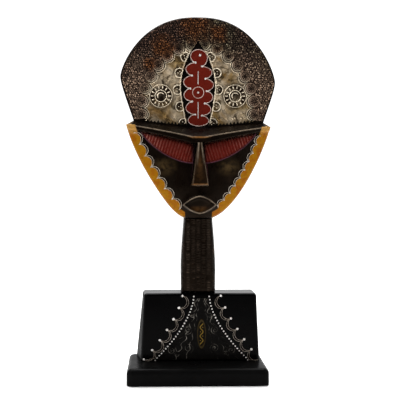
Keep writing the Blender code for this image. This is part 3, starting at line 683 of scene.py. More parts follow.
def nose_rise(x, z):
    """Height of the nose's prism: a widening front facet with steep flanks and a cut-off tip."""
    share = nose_share(z)
    front = NOSE_TOP_RISE + (NOSE_TIP_RISE - NOSE_TOP_RISE) * clamp(share)
    outside = clamp((abs(x - FEATURE_SHIFT) - nose_half(z)) / NOSE_FLANK)
    beyond = clamp(max(share - 1, -share) / NOSE_END_SHARE)
    return front * (1 - outside) * (1 - beyond)


def mouth_z():
    return CHIN_Z + MOUTH_ABOVE_CHIN


def mouth_half(x):
    """Half height of the almond-shaped mouth at a place across it."""
    across = clamp(abs(x - FEATURE_SHIFT) / (MOUTH_WIDTH / 2))
    return MOUTH_HEIGHT / 2 * (1 - across**MOUTH_POWER)


def mouth_offset(x, z):
    """About how far a place is outside the mouth's edge, negative inside."""
    beyond = max(0.0, abs(x - FEATURE_SHIFT) - MOUTH_WIDTH / 2)
    return beyond + (abs(z - mouth_z()) - mouth_half(x)) * MOUTH_EDGE_LEAN


def dome_rise(x, z):
    """Smooth convex ground of the face."""
    across = clamp(abs(x) / face_half(z, side_of(x)))
    up = eased((z - CHIN_Z) / CHIN_DOME_HEIGHT)
    fullness = CHIN_DOME_SHARE + (1 - CHIN_DOME_SHARE) * up
    return FACE_EDGE_RISE + FACE_DOME_RISE * (1 - across**2) * fullness


def neck_rise(x, z):
    across = clamp(abs(x) / neck_half(z))
    return NECK_RISE - NECK_SIDE_FALL * across**NECK_SIDE_POWER


def face_rise(x, z):
    """Height of the carved face forward of the crown's front plane."""
    rise = dome_rise(x, z)
    brow_foot = eye_top_z(x)
    rise += BROW_RISE * eased((z - brow_foot) / BROW_STEP + 0.5)
    inside = eye_inside(x, z)
    if inside > 0:
        up = clamp((z - eye_foot_z(x)) / EYE_HEIGHT)
        depth = EYE_DEPTH * (EYE_FOOT_SHARE + (1 - EYE_FOOT_SHARE) * up)
        rise -= depth * eased(inside / EYE_WALL)
        rise += EYE_RIDGE_HEIGHT * eye_crest(x, z) * clamp(inside / EYE_RIDGE_MARGIN)
    rise = max(rise, nose_rise(x, z))
    off = mouth_offset(x, z)
    rise += LIP_RISE * (1 - eased(abs(off) / LIP_WIDTH))
    rise += LIP_GROUND_RISE * (1 - eased(off / LIP_GROUND_REACH))
    return rise - MOUTH_HOLLOW * eased(-off / MOUTH_HOLLOW_REACH)


def plank_rise(x, z):
    """Height of the plank's front forward of the crown's front plane."""
    if z < CHIN_Z:
        return neck_rise(x, z)
    band_top = band_top_z(x)
    if z >= band_top:
        return 0.0
    ridge = brow_ridge_z(x)
    if z <= ridge:
        return face_rise(x, z)
    climb = (band_top - z) / (band_top - ridge)
    return face_rise(x, ridge) * climb**BAND_ROUNDING


# Meshes from a front surface


def joined_up(line, closed=False):
    return list(zip(line, line[1:] + line[:1])) if closed else list(zip(line, line[1:]))


def in_polygon(x, z, polygon):
    inside = False
    for (ax, az), (bx, bz) in joined_up(polygon, closed=True):
        if (az > z) != (bz > z) and x < ax + (bx - ax) * (z - az) / (bz - az):
            inside = not inside
    return inside


def place_key(point):
    return (round(point[0], PLACE_DIGITS), round(point[1], PLACE_DIGITS))


def tree_of(places):
    """A search tree of flat places."""
    tree = KDTree(len(places))
    for number, place in enumerate(places):
        tree.insert((place[0], place[1], 0.0), number)
    tree.balance()
    return tree


def tree_along(points, closed=False):
    """A search tree of places along a line, a few to each of its steps."""
    shares = [k / MARKS_A_STEP for k in range(MARKS_A_STEP)]
    return tree_of([part_way(a, b, share) for a, b in joined_up(points, closed) for share in shares])


def triangulated(lines, lattice, keep):
    """Triangles over the kept area. The lines are kept as edges, the lattice fills between them."""
    places = []
    index = {}
    edges = []
    for start, end in lines:
        ends = []
        for point in (start, end):
            key = place_key(point)
            if key not in index:
                index[key] = len(places)
                places.append(Vector(key))
            ends.append(index[key])
        if ends[0] != ends[1]:
            edges.append(tuple(ends))
    places += [Vector(point) for point in lattice]
    verts, _, faces, _, _, _ = delaunay_2d_cdt(places, edges, [], 0, SAME_PLACE)
    kept = []
    for face in faces:
        middle = sum((verts[i] for i in face), Vector((0.0, 0.0))) / len(face)
        if keep(middle.x, middle.y):
            kept.append(face)
    return verts, kept


def hexagonal(low, high, spacing, keep, lines):
    """Points of a hexagonal lattice in the kept area, clear of the lines."""
    marks = []
    for start, end in lines:
        count = max(1, math.ceil(math.dist(start, end) / (spacing * LINE_MARK_SHARE)))
        marks += [part_way(start, end, i / count) for i in range(count + 1)]
    tree = tree_of(marks)
    row_height = spacing * math.sqrt(3) / 2
    points = []
    for row in range(math.ceil((high[1] - low[1]) / row_height) + 1):
        z = low[1] + row * row_height
        for column in range(math.ceil((high[0] - low[0]) / spacing) + 1):
            x = low[0] + (column + 0.5 * (row % 2)) * spacing
            if keep(x, z) and tree.find((x, z, 0.0))[2] > spacing * LATTICE_CLEAR_SHARE:
                points.append((x, z))
    return points


def filled(lines, low, high, spacing, keep, finer=None):
    """The kept area meshed between its lines, with the lattice in the finer area alone if given."""
    return triangulated(lines, hexagonal(low, high, spacing, finer or keep, lines), keep)


def edge_loops(faces):
    """Closed loops of vertex numbers around the kept triangles, in the triangles' own direction."""
    directed = set()
    for face in faces:
        directed.update(joined_up(list(face), closed=True))
    following = {a: b for a, b in directed if (b, a) not in directed}
    loops = []
    while following:
        first = next(iter(following))
        loop = [first]
        step = following.pop(first)
        while step != first:
            loop.append(step)
            step = following.pop(step)
        loops.append(loop)
    return loops


def inset_loop(points, distance):
    """The closed loop moved to its left by a distance, with corners kept sharp."""
    moved = []
    count = len(points)
    for i, here in enumerate(points):
        before = Vector(points[i - 1])
        after = Vector(points[(i + 1) % count])
        into = (Vector(here) - before).normalized()
        out = (after - Vector(here)).normalized()
        square = Vector((-into.y, into.x))
        normal = Vector((-into.y - out.y, into.x + out.x))
        if normal.length < NO_LENGTH:
            normal = square.copy()
        normal.normalize()
        reach = distance / max(SHARPEST_CORNER, normal.dot(square))
        moved.append((here[0] + normal.x * reach, here[1] + normal.y * reach))
    return moved


def line_across(z_at, half, count):
    """A line of edges across the face, following a height rule."""
    return joined_up([(x, z_at(x)) for x in spaced(-half, half, count)])


def eye_lines(side):
    """Edges of one eye's outline, doubled for its wall, and of the crest and foot of each ridge."""
    lines = []
    for inset in (0.0, EYE_WALL):
        inner = EYE_INNER_X + inset
        tip = EYE_TIP_X - EYE_TIP_INSET_SHARE * inset
        top = [(side * x, eye_top_z(side * x) - inset) for x in spaced(inner, tip, EYE_TOP_STEPS)]
        foot = [(side * x, eye_foot_z(side * x) + inset) for x in spaced(inner, tip, EYE_FOOT_STEPS)]
        lines += joined_up(top + foot[::-1], closed=True)
    count = math.floor(2 * (EYE_TIP_X - EYE_INNER_X) / EYE_RIDGE_PITCH) - EYE_TIP_LINES_LEFT_OUT
    middle = eye_top_z(EYE_INNER_X) - EYE_HEIGHT / 2
    for number in range(1, count):
        phase = math.floor(2 * EYE_INNER_X / EYE_RIDGE_PITCH) / 2 + 0.5 + number / 2
        ends = []
        for share in (0.0, 1.0):
            x = phase * EYE_RIDGE_PITCH
            for _ in range(EYE_LEAN_ROUNDS):
                foot = eye_foot_z(side * x) + EYE_RIDGE_MARGIN
                top = eye_top_z(side * x) - EYE_RIDGE_MARGIN
                z = foot + (top - foot) * share
                x = phase * EYE_RIDGE_PITCH - EYE_RIDGE_LEAN * (z - middle)
            ends.append((side * x, z))
        long_enough = ends[1][1] - ends[0][1] > EYE_RIDGE_SHORTEST
        if long_enough and EYE_INNER_X + EYE_RIDGE_MARGIN < min(abs(x) for x, z in ends):
            lines.append(tuple(ends))
    return lines


def nose_lines():
    """Edges of the nose: its front facet and the foot of its flanks."""
    top = nose_top_z()
    tip = top - NOSE_LENGTH
    lines = []
    for flank, low in ((0.0, tip), (NOSE_FOOT_FLANK, tip - NOSE_LENGTH * NOSE_END_SHARE)):
        corners = [
            (FEATURE_SHIFT - NOSE_TOP_HALF - flank, top),
            (FEATURE_SHIFT - NOSE_TIP_HALF - flank, low),
            (FEATURE_SHIFT + NOSE_TIP_HALF + flank, low),
            (FEATURE_SHIFT + NOSE_TOP_HALF + flank, top),
        ]
        lines += joined_up(corners, closed=True)
    return lines


# Metal sheets on the crown


def arch_line(side, steps=ARCH_STEPS):
    """The arch on one side, from its foot up to its top on the middle line."""
    points = [(side * ARCH_HALF, BROW_Z)]
    for i in range(steps + 1):
        up = math.sin(math.pi / 2 * i / steps) ** EVEN_STEPS_POWER
        half = ARCH_HALF * math.sqrt(1 - up**ARCH_POWER)
        points.append((side * half, BROW_Z + ARCH_SPRING + ARCH_RISE * up))
    return points


def along(points, count, start, end):
    """Places at even distances along a line, between two shares of its length."""
    lengths = [0.0]
    for a, b in joined_up(points):
        lengths.append(lengths[-1] + math.dist(a, b))
    places = []
    for i in range(count):
        wanted = lengths[-1] * (start + (end - start) * i / (count - 1))
        number = max(n for n in range(len(points) - 1) if lengths[n] <= wanted + LENGTH_SLACK)
        share = (wanted - lengths[number]) / (lengths[number + 1] - lengths[number])
        places.append(part_way(points[number], points[number + 1], share))
    return places


def border_lobes(side):
    """Centres of the lobes that swell into the silver field. The last ends on the middle line."""
    step = (1 - LOBES_START) / (LOBES_A_SIDE - 0.5)
    return along(arch_line(side), LOBES_A_SIDE, LOBES_START, 1 - step / 2)


def lobe_radius(lobes):
    return math.dist(*lobes[:2]) / 2 * LOBE_FULLNESS


def scallop_line(side, gap):
    """The border's lobed edge from its foot to the middle line, moved into the field by a gap."""
    lobes = border_lobes(side)
    radius = lobe_radius(lobes) + gap
    points = [(lobes[0][0] - side * gap, BROW_Z - BROW_DIP)]
    for number, centre in enumerate(lobes):
        before = lobes[max(0, number - 1)]
        after = lobes[min(number + 1, len(lobes) - 1)]
        forward = math.atan2(after[1] - before[1], after[0] - before[0])
        first = math.pi - math.asin(gap / radius)
        turns = (forward + side * first, forward + side * (math.pi - first))
        points += arc(centre, radius, *turns, LOBE_STEPS)
    return points + [(0.0, points[-1][1])]


def strip_half(z, outset=0.0):
    """Half width of the pointed opening down the middle of the crown."""
    widest_z = BROW_Z + STRIP_WIDEST
    if z >= widest_z:
        up = clamp((z - widest_z) / (STRIP_TIP_Z + outset - widest_z))
        return (STRIP_HALF + outset) * (1 - up**2)
    down = clamp((widest_z - z) / STRIP_WIDEST)
    return STRIP_HALF + outset - (STRIP_HALF - STRIP_FOOT_HALF) * down**STRIP_FOOT_POWER


def strip_line(side, outset=0.0, steps=STRIP_STEPS):
    heights = spaced(BROW_Z - BROW_DIP, STRIP_TIP_Z + outset, steps)
    return [(side * strip_half(z, outset), z) for z in heights]


def field_outline(side, gap):
    """Closed outline of the silver field on one side, over the strip to the middle line."""
    return scallop_line(side, gap) + [(0.0, BROW_Z - BROW_DIP)]


def strip_outline(outset):
    return strip_line(1.0, outset) + strip_line(-1.0, outset)[::-1]


def crown_edge():
    """The crown's outline moved in by the uncovered margin, from its right foot over the top."""
    crown = []
    for side in (1.0, -1.0):
        crown.append([p for p in plank_side(side) if p[1] >= crown_foot_z(side)])
    return inset_loop(crown[0] + [(0.0, CROWN_TOP_Z)] + crown[1][::-1], SHEET_INSET)


def sheet_foot_z(x):
    return band_top_z(x) + SHEET_FOOT_INSET


def sheet_foot_lines():
    reach = CROWN_WIDTH / 2
    return joined_up([(x, sheet_foot_z(x)) for x in spaced(-reach, reach, SHEET_FOOT_STEPS)])


def rosette_centre(side):
    return (side * ROSETTE_X, BROW_Z + ROSETTE_HEIGHT)


def boss_centres(side):
    """Centres of the round bosses in the silver field beside the strip."""
    line = strip_line(side, BOSS_RADIUS * BOSS_OUTSET_SHARE)
    return along(line, BOSSES_A_SIDE, BOSSES_START, BOSSES_END)


def panel_half(z):
    down = clamp((BLOCK_TOP_Z - PANEL_MARGIN - z) / (BLOCK_HEIGHT - 2 * PANEL_MARGIN))
    return PANEL_TOP_HALF + (PANEL_FOOT_HALF - PANEL_TOP_HALF) * down**PANEL_FLARE


# Finer carving of the plank


def scatter(*numbers):
    """A fixed value from 0 to 1 for a set of whole numbers."""
    mixed = math.sin(sum(n * k for n, k in zip(numbers, SCATTER_FACTORS))) * SCATTER_SCALE
    return mixed - math.floor(mixed)


def neck_cut(x, z):
    """Depth of the short level cuts that cover the neck in staggered columns."""
    column = math.floor(x / NECK_CUT_WIDTH + 0.5)
    row_place = (z - NECK_FOOT_Z) / NECK_CUT_PITCH + 0.5 * (column % 2)
    row = math.floor(row_place)
    share = scatter(column, row)
    if share < NECK_CUTS_LEFT_OUT:
        return 0.0
    across = (x / NECK_CUT_WIDTH - column) / ranged(NECK_CUT_HALF_SHARES, share)
    up = (row_place - row - 0.5 - NECK_CUT_WANDER * (share - 0.5)) / NECK_CUT_HALF_HEIGHT_SHARE
    return NECK_CUT_DEPTH * ranged(NECK_CUT_DEPTH_SHARES, share) * ridge(across) * ridge(up)


def hand_worked(x, z):
    """Slow unevenness of a surface cut by hand, with a finer one over it."""
    return sum(height * noise.noise((x * across, z * up, layer)) for height, across, up, layer in HAND_WORK)


def eye_groove(x, z):
    """Narrow grooves between the ridges of an eye."""
    inside = eye_inside(x, z)
    if inside <= 0:
        return 0.0
    down = max(0.0, EYE_GROOVE_WIDTH - eye_crest(x, z)) / EYE_GROOVE_WIDTH
    return EYE_GROOVE_DEPTH * clamp(inside / EYE_GROOVE_MARGIN) * down


def mask_rise(x, z):
    rise = plank_rise(x, z) + hand_worked(x, z)
    if z < CHIN_Z:
        return rise - neck_cut(x, z)
    if z < band_top_z(x):
        return rise - eye_groove(x, z)
    return plank_rise(x, z)


# Painted areas of the plank


def face_edge(side, inset=0.0):
    """The side of the face from its brow corner down to the chin, moved inwards."""
    line = [(side * face_half(z, side), z) for z in spaced(brow_corner_z(side), CHIN_Z, FACE_EDGE_STEPS)]
    moved = []
    for i, (x, z) in enumerate(line):
        ahead = line[min(i + 1, len(line) - 1)]
        behind = line[max(i - 1, 0)]
        run = Vector((ahead[0] - behind[0], ahead[1] - behind[1])).normalized()
        moved.append((x + side * run.y * inset, z - side * run.x * inset))
    return moved


def rim_lobes(side):
    """Centres of the painted lobes down one side of the face."""
    return along(face_edge(side, RIM_LOBE_INSETS[side]), RIM_LOBES[side], RIM_LOBES_START, RIM_LOBES_END)


class Rim:
    """The ochre rim of one side of the face."""

    def __init__(self, side):
        self.side = side
        self.lobes = rim_lobes(side)
        self.edge = tree_along(face_edge(side))

    def inside(self, x, z):
        """Distance inside the painted area, negative outside."""
        from_edge = self.edge.find((x, z, 0.0))[2]
        depths = [RIM_LOBE_RADII[self.side] - math.dist((x, z), lobe) for lobe in self.lobes]
        below_corner = z - brow_corner_z(self.side) + RIM_BOX_HEIGHT
        return max(RIM_WIDTH - from_edge, min(RIM_BOX_WIDTH - from_edge, below_corner), *depths)


def patchy(x, z):
    return 0.72 + 0.5 * noise.noise((x * 60, z * 60, 6.0))


def line_share(away, half):
    return max(0.0, 1 - abs(away) / half)


def rub_on_face(x, z):
    """Copper rubbed on the brow over the nose, on the nose's front and inside the lips."""
    above_ridge = z - brow_ridge_z(x)
    if above_ridge >= 0:
        return 0.0
    out = abs(x - FEATURE_SHIFT)
    rub = BROW_RUB * line_share(above_ridge + BROW_RUB_DROP, BROW_RUB_HALF)
    rub *= clamp(1.9 - out / BROW_RUB_REACH)
    share = nose_share(z)
    across = (x - FEATURE_SHIFT) / nose_half(z)
    if 0 <= share <= 1.03 and abs(across) < 1.1:
        body = clamp(1 - abs(across + 0.15) / 0.75) * clamp(1 - abs(share - 0.55) / 0.40)
        rub = max(rub, 0.02 + NOSE_RUB * body * patchy(x * 1.7, z))
        rub = max(rub, NOSE_TIP_RUB * line_share((share - 0.985) * NOSE_LENGTH, NOSE_TIP_RUB_HALF))
    if mouth_offset(x, z) < -MOUTH_RUB_INSET:
        low = eased((mouth_z() - MOUTH_RUB_DROP - z) / MOUTH_RUB_FADE)
        rub = max(rub, MOUTH_RUB * low * patchy(x, z) * clamp(1.2 - out / MOUTH_RUB_REACH))
    return max(0.0, rub)


def wear_and_highlight_on_edges(x, z):
    """Pale wear and painted highlight along the brow's edge, down the nose's edges and round the lips."""
    above_ridge = z - brow_ridge_z(x)
    from_middle = x - FEATURE_SHIFT
    crest = (0.25 + 0.65 * patchy(x, 0.3)) * line_share(above_ridge + BROW_WEAR_AND_HIGHLIGHT_DROP, WEAR_AND_HIGHLIGHT_HALF)
    crest *= clamp(abs(from_middle) / BROW_WEAR_AND_HIGHLIGHT_START - 0.2)
    if above_ridge < 0:
        share = nose_share(z)
        if 0 <= share <= 1.02:
            # Painted highlight with wear: lines down the nose's edges, brightest at the top and on the
            # left.
            kinds = {"fading": clamp(1.15 - share / 0.48), "patchy": patchy(x, z), "even": 1.0}
            for strength, place, half, kind in NOSE_WEAR_AND_HIGHLIGHT:
                away = from_middle - nose_half(z) * place
                crest = max(crest, strength * kinds[kind] * line_share(away, half))
        crest = max(crest, LIP_WEAR_AND_HIGHLIGHT * patchy(x, z) * line_share(mouth_offset(x, z), WEAR_AND_HIGHLIGHT_HALF))
    return max(0.0, crest)


def wear_and_highlight_on_plank(x, z):
    """Pale wear and painted highlight: on the crests of the outer ridges of the eyes and between the cuts
    of the neck, along the cuts' lower edges.
    """
    if z < CHIN_Z:
        # Painted highlight with wear: pale along the lower edge of each cut of the neck.
        patch = clamp(0.45 + 0.9 * noise.noise((x * 110, z * 60, 2.0)))
        return patch * clamp(neck_cut(x, z + NECK_CUT_PITCH * NECK_WEAR_AND_HIGHLIGHT_DROP_SHARE) / NECK_CUT_DEPTH) ** 2
    if eye_inside(x, z) <= 0:
        return 0.0
    # Painted highlight with wear: pale on the outer ridge crests, the left eye twice as strong as the
    # right.
    outer = clamp((abs(x) - EYE_WEAR_AND_HIGHLIGHT_START) / EYE_WEAR_AND_HIGHLIGHT_FADE) * (0.5 if x > 0 else 1.0)
    return eye_crest(x, z) ** 3 * (0.15 + 0.85 * outer)


def lid_on_face(x, z):
    """A thin violet line along the lower edge of each eye."""
    if not EYE_INNER_X < abs(x) < EYE_TIP_X:
        return 0.0
    return line_share(z - eye_foot_z(x) + LID_DROP, LID_HALF)


def bronze_and_highlight_on_cheeks(x, z):
    """Soft bronze rub and painted highlight on the cheeks."""
    up = (z - CHIN_Z - CHEEK_ABOVE_CHIN) / CHEEK_GLOW_UP
    bronze_and_highlight = 0.0
    for side in (-1.0, 1.0):
        across = (x - side * CHEEK_X - CHEEK_SHIFT) / CHEEK_GLOW_ACROSS
        bronze_and_highlight = max(bronze_and_highlight, 1 - math.hypot(across, up))
    return bronze_and_highlight**GLOW_POWER


# The painted figure on the crown's strip


def figure_notches(side):
    top, foot = (FIGURE_LEFT_NOTCHES if side < 0 else FIGURE_RIGHT_NOTCHES)
    levels = spaced(BROW_Z + top, BROW_Z + foot, FIGURE_NOTCHES - 1)
    places = []
    for i, z in enumerate(levels):
        share = ranged(FIGURE_NOTCH_SHARES, math.sin(math.pi * i / (FIGURE_NOTCHES - 1)))
        places.append((FIGURE_SHIFT + side * share * strip_half(z), z))
    return places


def figure_side(side):
    """One side of the lobed figure, from its top down to its foot."""
    top = (FIGURE_SHIFT, BROW_Z + FIGURE_TOP)
    foot = (FIGURE_SHIFT, BROW_Z + FIGURE_FOOT)
    stops = [top] + figure_notches(side) + [foot]
    line = []
    for a, b in zip(stops, stops[1:]):
        at_end = a is top or b is foot
        reach = strip_half((a[1] + b[1]) / 2) * FIGURE_REACH_SHARE
        for i in range(FIGURE_LOBE_STEPS):
            share = i / FIGURE_LOBE_STEPS
            if at_end:
                share = 0.5 - 0.5 * math.cos(math.pi * share)
            swell = math.sin(math.pi * share) ** (0.5 if at_end else FIGURE_LOBE_ROUNDING)
            start_x = abs(a[0] - FIGURE_SHIFT) * (1 - share) + abs(b[0] - FIGURE_SHIFT) * share
            z = a[1] + (b[1] - a[1]) * share
            line.append((FIGURE_SHIFT + side * (start_x + (reach - start_x) * swell), z))
    return line + [foot]


def figure_outline():
    return figure_side(1.0) + figure_side(-1.0)[-2::-1]


# Embossing of the metal sheets


class Stipple:
    """Raised dots and small rings strewn over the border."""

    def __init__(self, low, high, spacing):
        self.spacing = spacing
        self.places = []
        self.sizes = []
        row_height = spacing * math.sqrt(3) / 2
        for row in range(int((high[1] - low[1]) / row_height) + 2):
            for column in range(int((high[0] - low[0]) / spacing) + 2):
                aside = STIPPLE_WANDER * (scatter(row, column) - 0.5)
                above = STIPPLE_WANDER * (scatter(row, column, 1) - 0.5)
                x = low[0] + (column + 0.5 * (row % 2) + aside) * spacing
                self.places.append((x, low[1] + (row + above) * row_height))
                self.sizes.append(scatter(row, column, 2))
        self.tree = tree_of(self.places)

    def rise(self, x, z):
        _, number, away = self.tree.find((x, z, 0.0))
        size = self.sizes[number]
        if size > STIPPLE_RING_SIZE:
            ring = STIPPLE_RING_SHARE * self.spacing
            return 0.5 * line_share(away - ring, STIPPLE_RING_HALF) * (0.6 + 0.5 * size)
        return (0.45 + 0.9 * size) * ridge(away, self.spacing * ranged(STIPPLE_DOT_SHARES, size))


def beads(turn, count, share=0.5):
    """Raised beads round a ring, by the angle."""
    return max(0.0, math.cos(turn * count)) ** share


class Border:
    """Relief of the crown's border."""

    def __init__(self):
        low = (-CROWN_WIDTH / 2, BROW_Z - BROW_DIP)
        self.stipple = Stipple(low, (CROWN_WIDTH / 2, CROWN_TOP_Z), STIPPLE_PITCH)
        self.lobes = {side: border_lobes(side) for side in (-1.0, 1.0)}

    def rise(self, x, z):
        """Height from 0 to about 1 over the sheet's face, and how much of it belongs to a lobe."""
        lobes = self.lobes[side_of(x)]
        radius = lobe_radius(lobes)
        grain = self.stipple.rise(x, z) + 0.25 * noise.noise((x * 900, z * 900, 7.0))
        best = 0.0
        inner = 0.0
        for cx, cz in lobes:
            away = math.hypot(x - cx, z - cz)
            if away > radius * 1.05:
                continue
            turn = math.atan2(z - cz, x - cx)
            outward = ((x - cx) * cx + (z - cz) * (cz - BROW_Z)) / (radius * math.hypot(cx, cz - BROW_Z))
            show = 1 - 0.6 * clamp(0.5 + outward)
            rings = [high * ridge(away - radius + inset, half) for high, inset, half in LOBE_RINGS]
            spokes = ridge(away - radius * LOBE_SPOKE_SHARE, LOBE_SPOKE_HALF)
            spokes *= 0.7 * beads(turn, LOBE_SPOKES)
            best = max(best, show * max(*rings, spokes))
            inner = max(inner, show)
        return max(best, grain * (1 - 0.7 * inner)), inner


def tooth(x, z):
    """The row of small cut triangles along the foot of a pale sheet, 1 inside them."""
    up = z - sheet_foot_z(x)
    if up > TOOTH_HEIGHT:
        return 0.0
    place = x / TOOTH_PITCH
    height = TOOTH_HEIGHT * ranged(TOOTH_HEIGHT_SHARES, scatter(math.floor(place)))
    across = abs(place % 1.0 - 0.5) * 2
    return clamp((0.90 * (1 - up / height) - across + TOOTH_BLUR) / TOOTH_BLUR)


class Plate:
    """Relief of one pale sheet."""

    def __init__(self, side):
        self.side = side
        self.rosette = rosette_centre(side)
        self.bosses = boss_centres(side)
        self.edge = tree_along(scallop_line(side, GAP))

    def rosette_height(self, x, z):
        away = math.dist((x, z), self.rosette)
        if away > ROSETTE_RADIUS * 1.3:
            return 0.0
        turn = math.atan2(z - self.rosette[1], x - self.rosette[0])
        dome = 0.5 * math.sqrt(ridge(away, ROSETTE_DOME))
        swirl = ridge(away - ROSETTE_SWIRL_RADIUS, ROSETTE_SWIRL_HALF)
        swirl *= clamp(0.75 + 0.7 * math.sin(turn - 0.6))
        ring = ridge(away - ROSETTE_DOME - ROSETTE_RING_BEYOND, ROSETTE_RING_HALF)
        petal_middle = (ROSETTE_DOME + ROSETTE_RADIUS) / 2 + PETAL_OUTSET
        petals = ridge(away - petal_middle, PETAL_HALF) * beads(turn, ROSETTE_PETALS, 0.8)
        rim = 0.9 * ridge(away - ROSETTE_RADIUS, ROSETTE_RIM_HALF)
        return max(dome, swirl, ring, petals, rim)

    def boss_height(self, x, z):
        best = 0.0
        for number, centre in enumerate(self.bosses):
            away = math.dist((x, z), centre)
            if away > BOSS_RADIUS * 1.2:
                continue
            turn = math.atan2(z - centre[1], x - centre[0])
            rings = [high * ridge(away - BOSS_RADIUS * share, half) for high, share, half in BOSS_RINGS]
            seeds = ridge(away - BOSS_RADIUS * 0.28, BOSS_SEED_HALF)
            seeds *= 0.95 * beads(turn + number, BOSS_SEEDS)
            best = max(best, *rings, seeds)
        return best

    def dents(self, x, z):
        slow = noise.noise((x * 42, z * 42, 5.0 * self.side))
        crease = abs(noise.noise((x * 65 + 9, z * 48, 2.0 * self.side)))
        return 0.55 * slow + 0.55 * (1 - min(1.0, crease * 5))

    def rise(self, x, z):
        """Height from 0 to about 1 over the sheet's face, and the distance from its lobed edge."""
        from_edge = self.edge.find((x, z, 0.0))[2]
        from_strip = abs(x) - strip_half(z, 2 * GAP)
        ragged = PLATE_RIM_INSET + PLATE_RIM_WANDER * noise.noise((x * 400, z * 400, 1.0))
        stroke = abs((x * 0.9 + z) / FRINGE_PITCH % 1.0 - 0.5) * 2
        made = max(
            self.rosette_height(x, z),
            self.boss_height(x, z),
            0.8 * ridge(from_edge - PLATE_RIM_INSET, PLATE_EDGE_HALF),
            ridge(from_strip - ragged, PLATE_RIM_HALF),
            0.35 * ridge(z - band_top_z(x) - FRINGE_HEIGHT, FRINGE_HALF) * stroke,
        )
        return made - 0.5 * tooth(x, z), from_edge


class Panel:
    """Relief of the dark sheet on the block."""

    def __init__(self):
        self.foot_z = BLOCK_FOOT_Z + PANEL_MARGIN
        self.centre = (PANEL_SHIFT, BLOCK_FOOT_Z + CARTOUCHE_HEIGHT)

    def cartouche(self, x, z):
        """1 on the cartouche's edge, less inside."""
        across = (x - self.centre[0]) / CARTOUCHE_HALF_WIDTH
        up = (z - self.centre[1]) / CARTOUCHE_HALF_HEIGHT
        return math.hypot(across, up)

    def vine(self, x, z):
        """A brass vine winding up the middle of the cartouche, with a bud in each bend."""
        up = z - self.centre[1]
        if abs(up) > VINE_LENGTH / 2 or self.cartouche(x, z) >= CARTOUCHE_FIELD_SHARE:
            return 0.0
        across = x - self.centre[0]
        turn = 2 * math.pi * up / VINE_PITCH
        slope = VINE_SWAY * 2 * math.pi / VINE_PITCH * math.cos(turn)
        line = ridge((across - VINE_SWAY * math.sin(turn)) / math.hypot(1, slope), VINE_HALF)
        bend = (math.floor(2 * up / VINE_PITCH) + 0.5) * VINE_PITCH / 2
        bud_x = -0.8 * VINE_SWAY * math.sin(2 * math.pi * bend / VINE_PITCH)
        return max(line, ridge(math.hypot(across - bud_x, up - bend), BUD_RADIUS))

    def scroll(self, x, z, side):
        """Curls beside the cartouche, each turning out from its own centre."""
        best = 0.0
        for number, (across, height, radius) in enumerate(SCROLLS):
            centre_z = self.foot_z + height * BLOCK_HEIGHT
            centre_x = PANEL_SHIFT + side * across * panel_half(centre_z)
            away = math.hypot(x - centre_x, z - centre_z)
            if away < radius * 1.3:
                turn = (math.atan2(z - centre_z, side * (x - centre_x)) + number) / (2 * math.pi) % 1.0
                for coil in (0.0, 0.5):
                    best = max(best, ridge(away - radius * (coil + 0.5 * turn), SCROLL_HALF))
        return best

    def rise(self, x, z):
        """Height from 0 to about 1 over the sheet's face."""
        span = self.cartouche(x, z)
        if span < 1.0:
            rim = ridge((span - CARTOUCHE_RIM_SHARE) * CARTOUCHE_HALF_WIDTH, PANEL_LINE_HALF)
            return max(rim, self.vine(x, z))
        half = panel_half(z)
        share = (x - PANEL_SHIFT) / half
        side = side_of(share)
        strength = 1.1 if side < 0 or z > self.foot_z + 0.55 * BLOCK_HEIGHT else 0.8
        best = self.scroll(x, z, side)
        for middle, sway in TENDRILS:
            away = (abs(share) - middle) * half - sway * math.sin(z * 420 + side)
            best = max(best, strength * ridge(away, PANEL_LINE_HALF))
        if abs(abs(share) - 0.74) * half < PANEL_FRINGE_HALF:
            strokes = abs((side * x * 0.55 + z) / PANEL_FRINGE_PITCH % 1.0 - 0.5) * 2
            best = max(best, 0.95 * line_share(1 - strokes, 0.25))
        dots = 0.8 * max(0.0, noise.noise((x * 420, z * 420, 1.0)) - 0.20)
        return max(best * (0.65 + 0.5 * noise.noise((x * 90, z * 90, 3.0))), dots)


# Materials


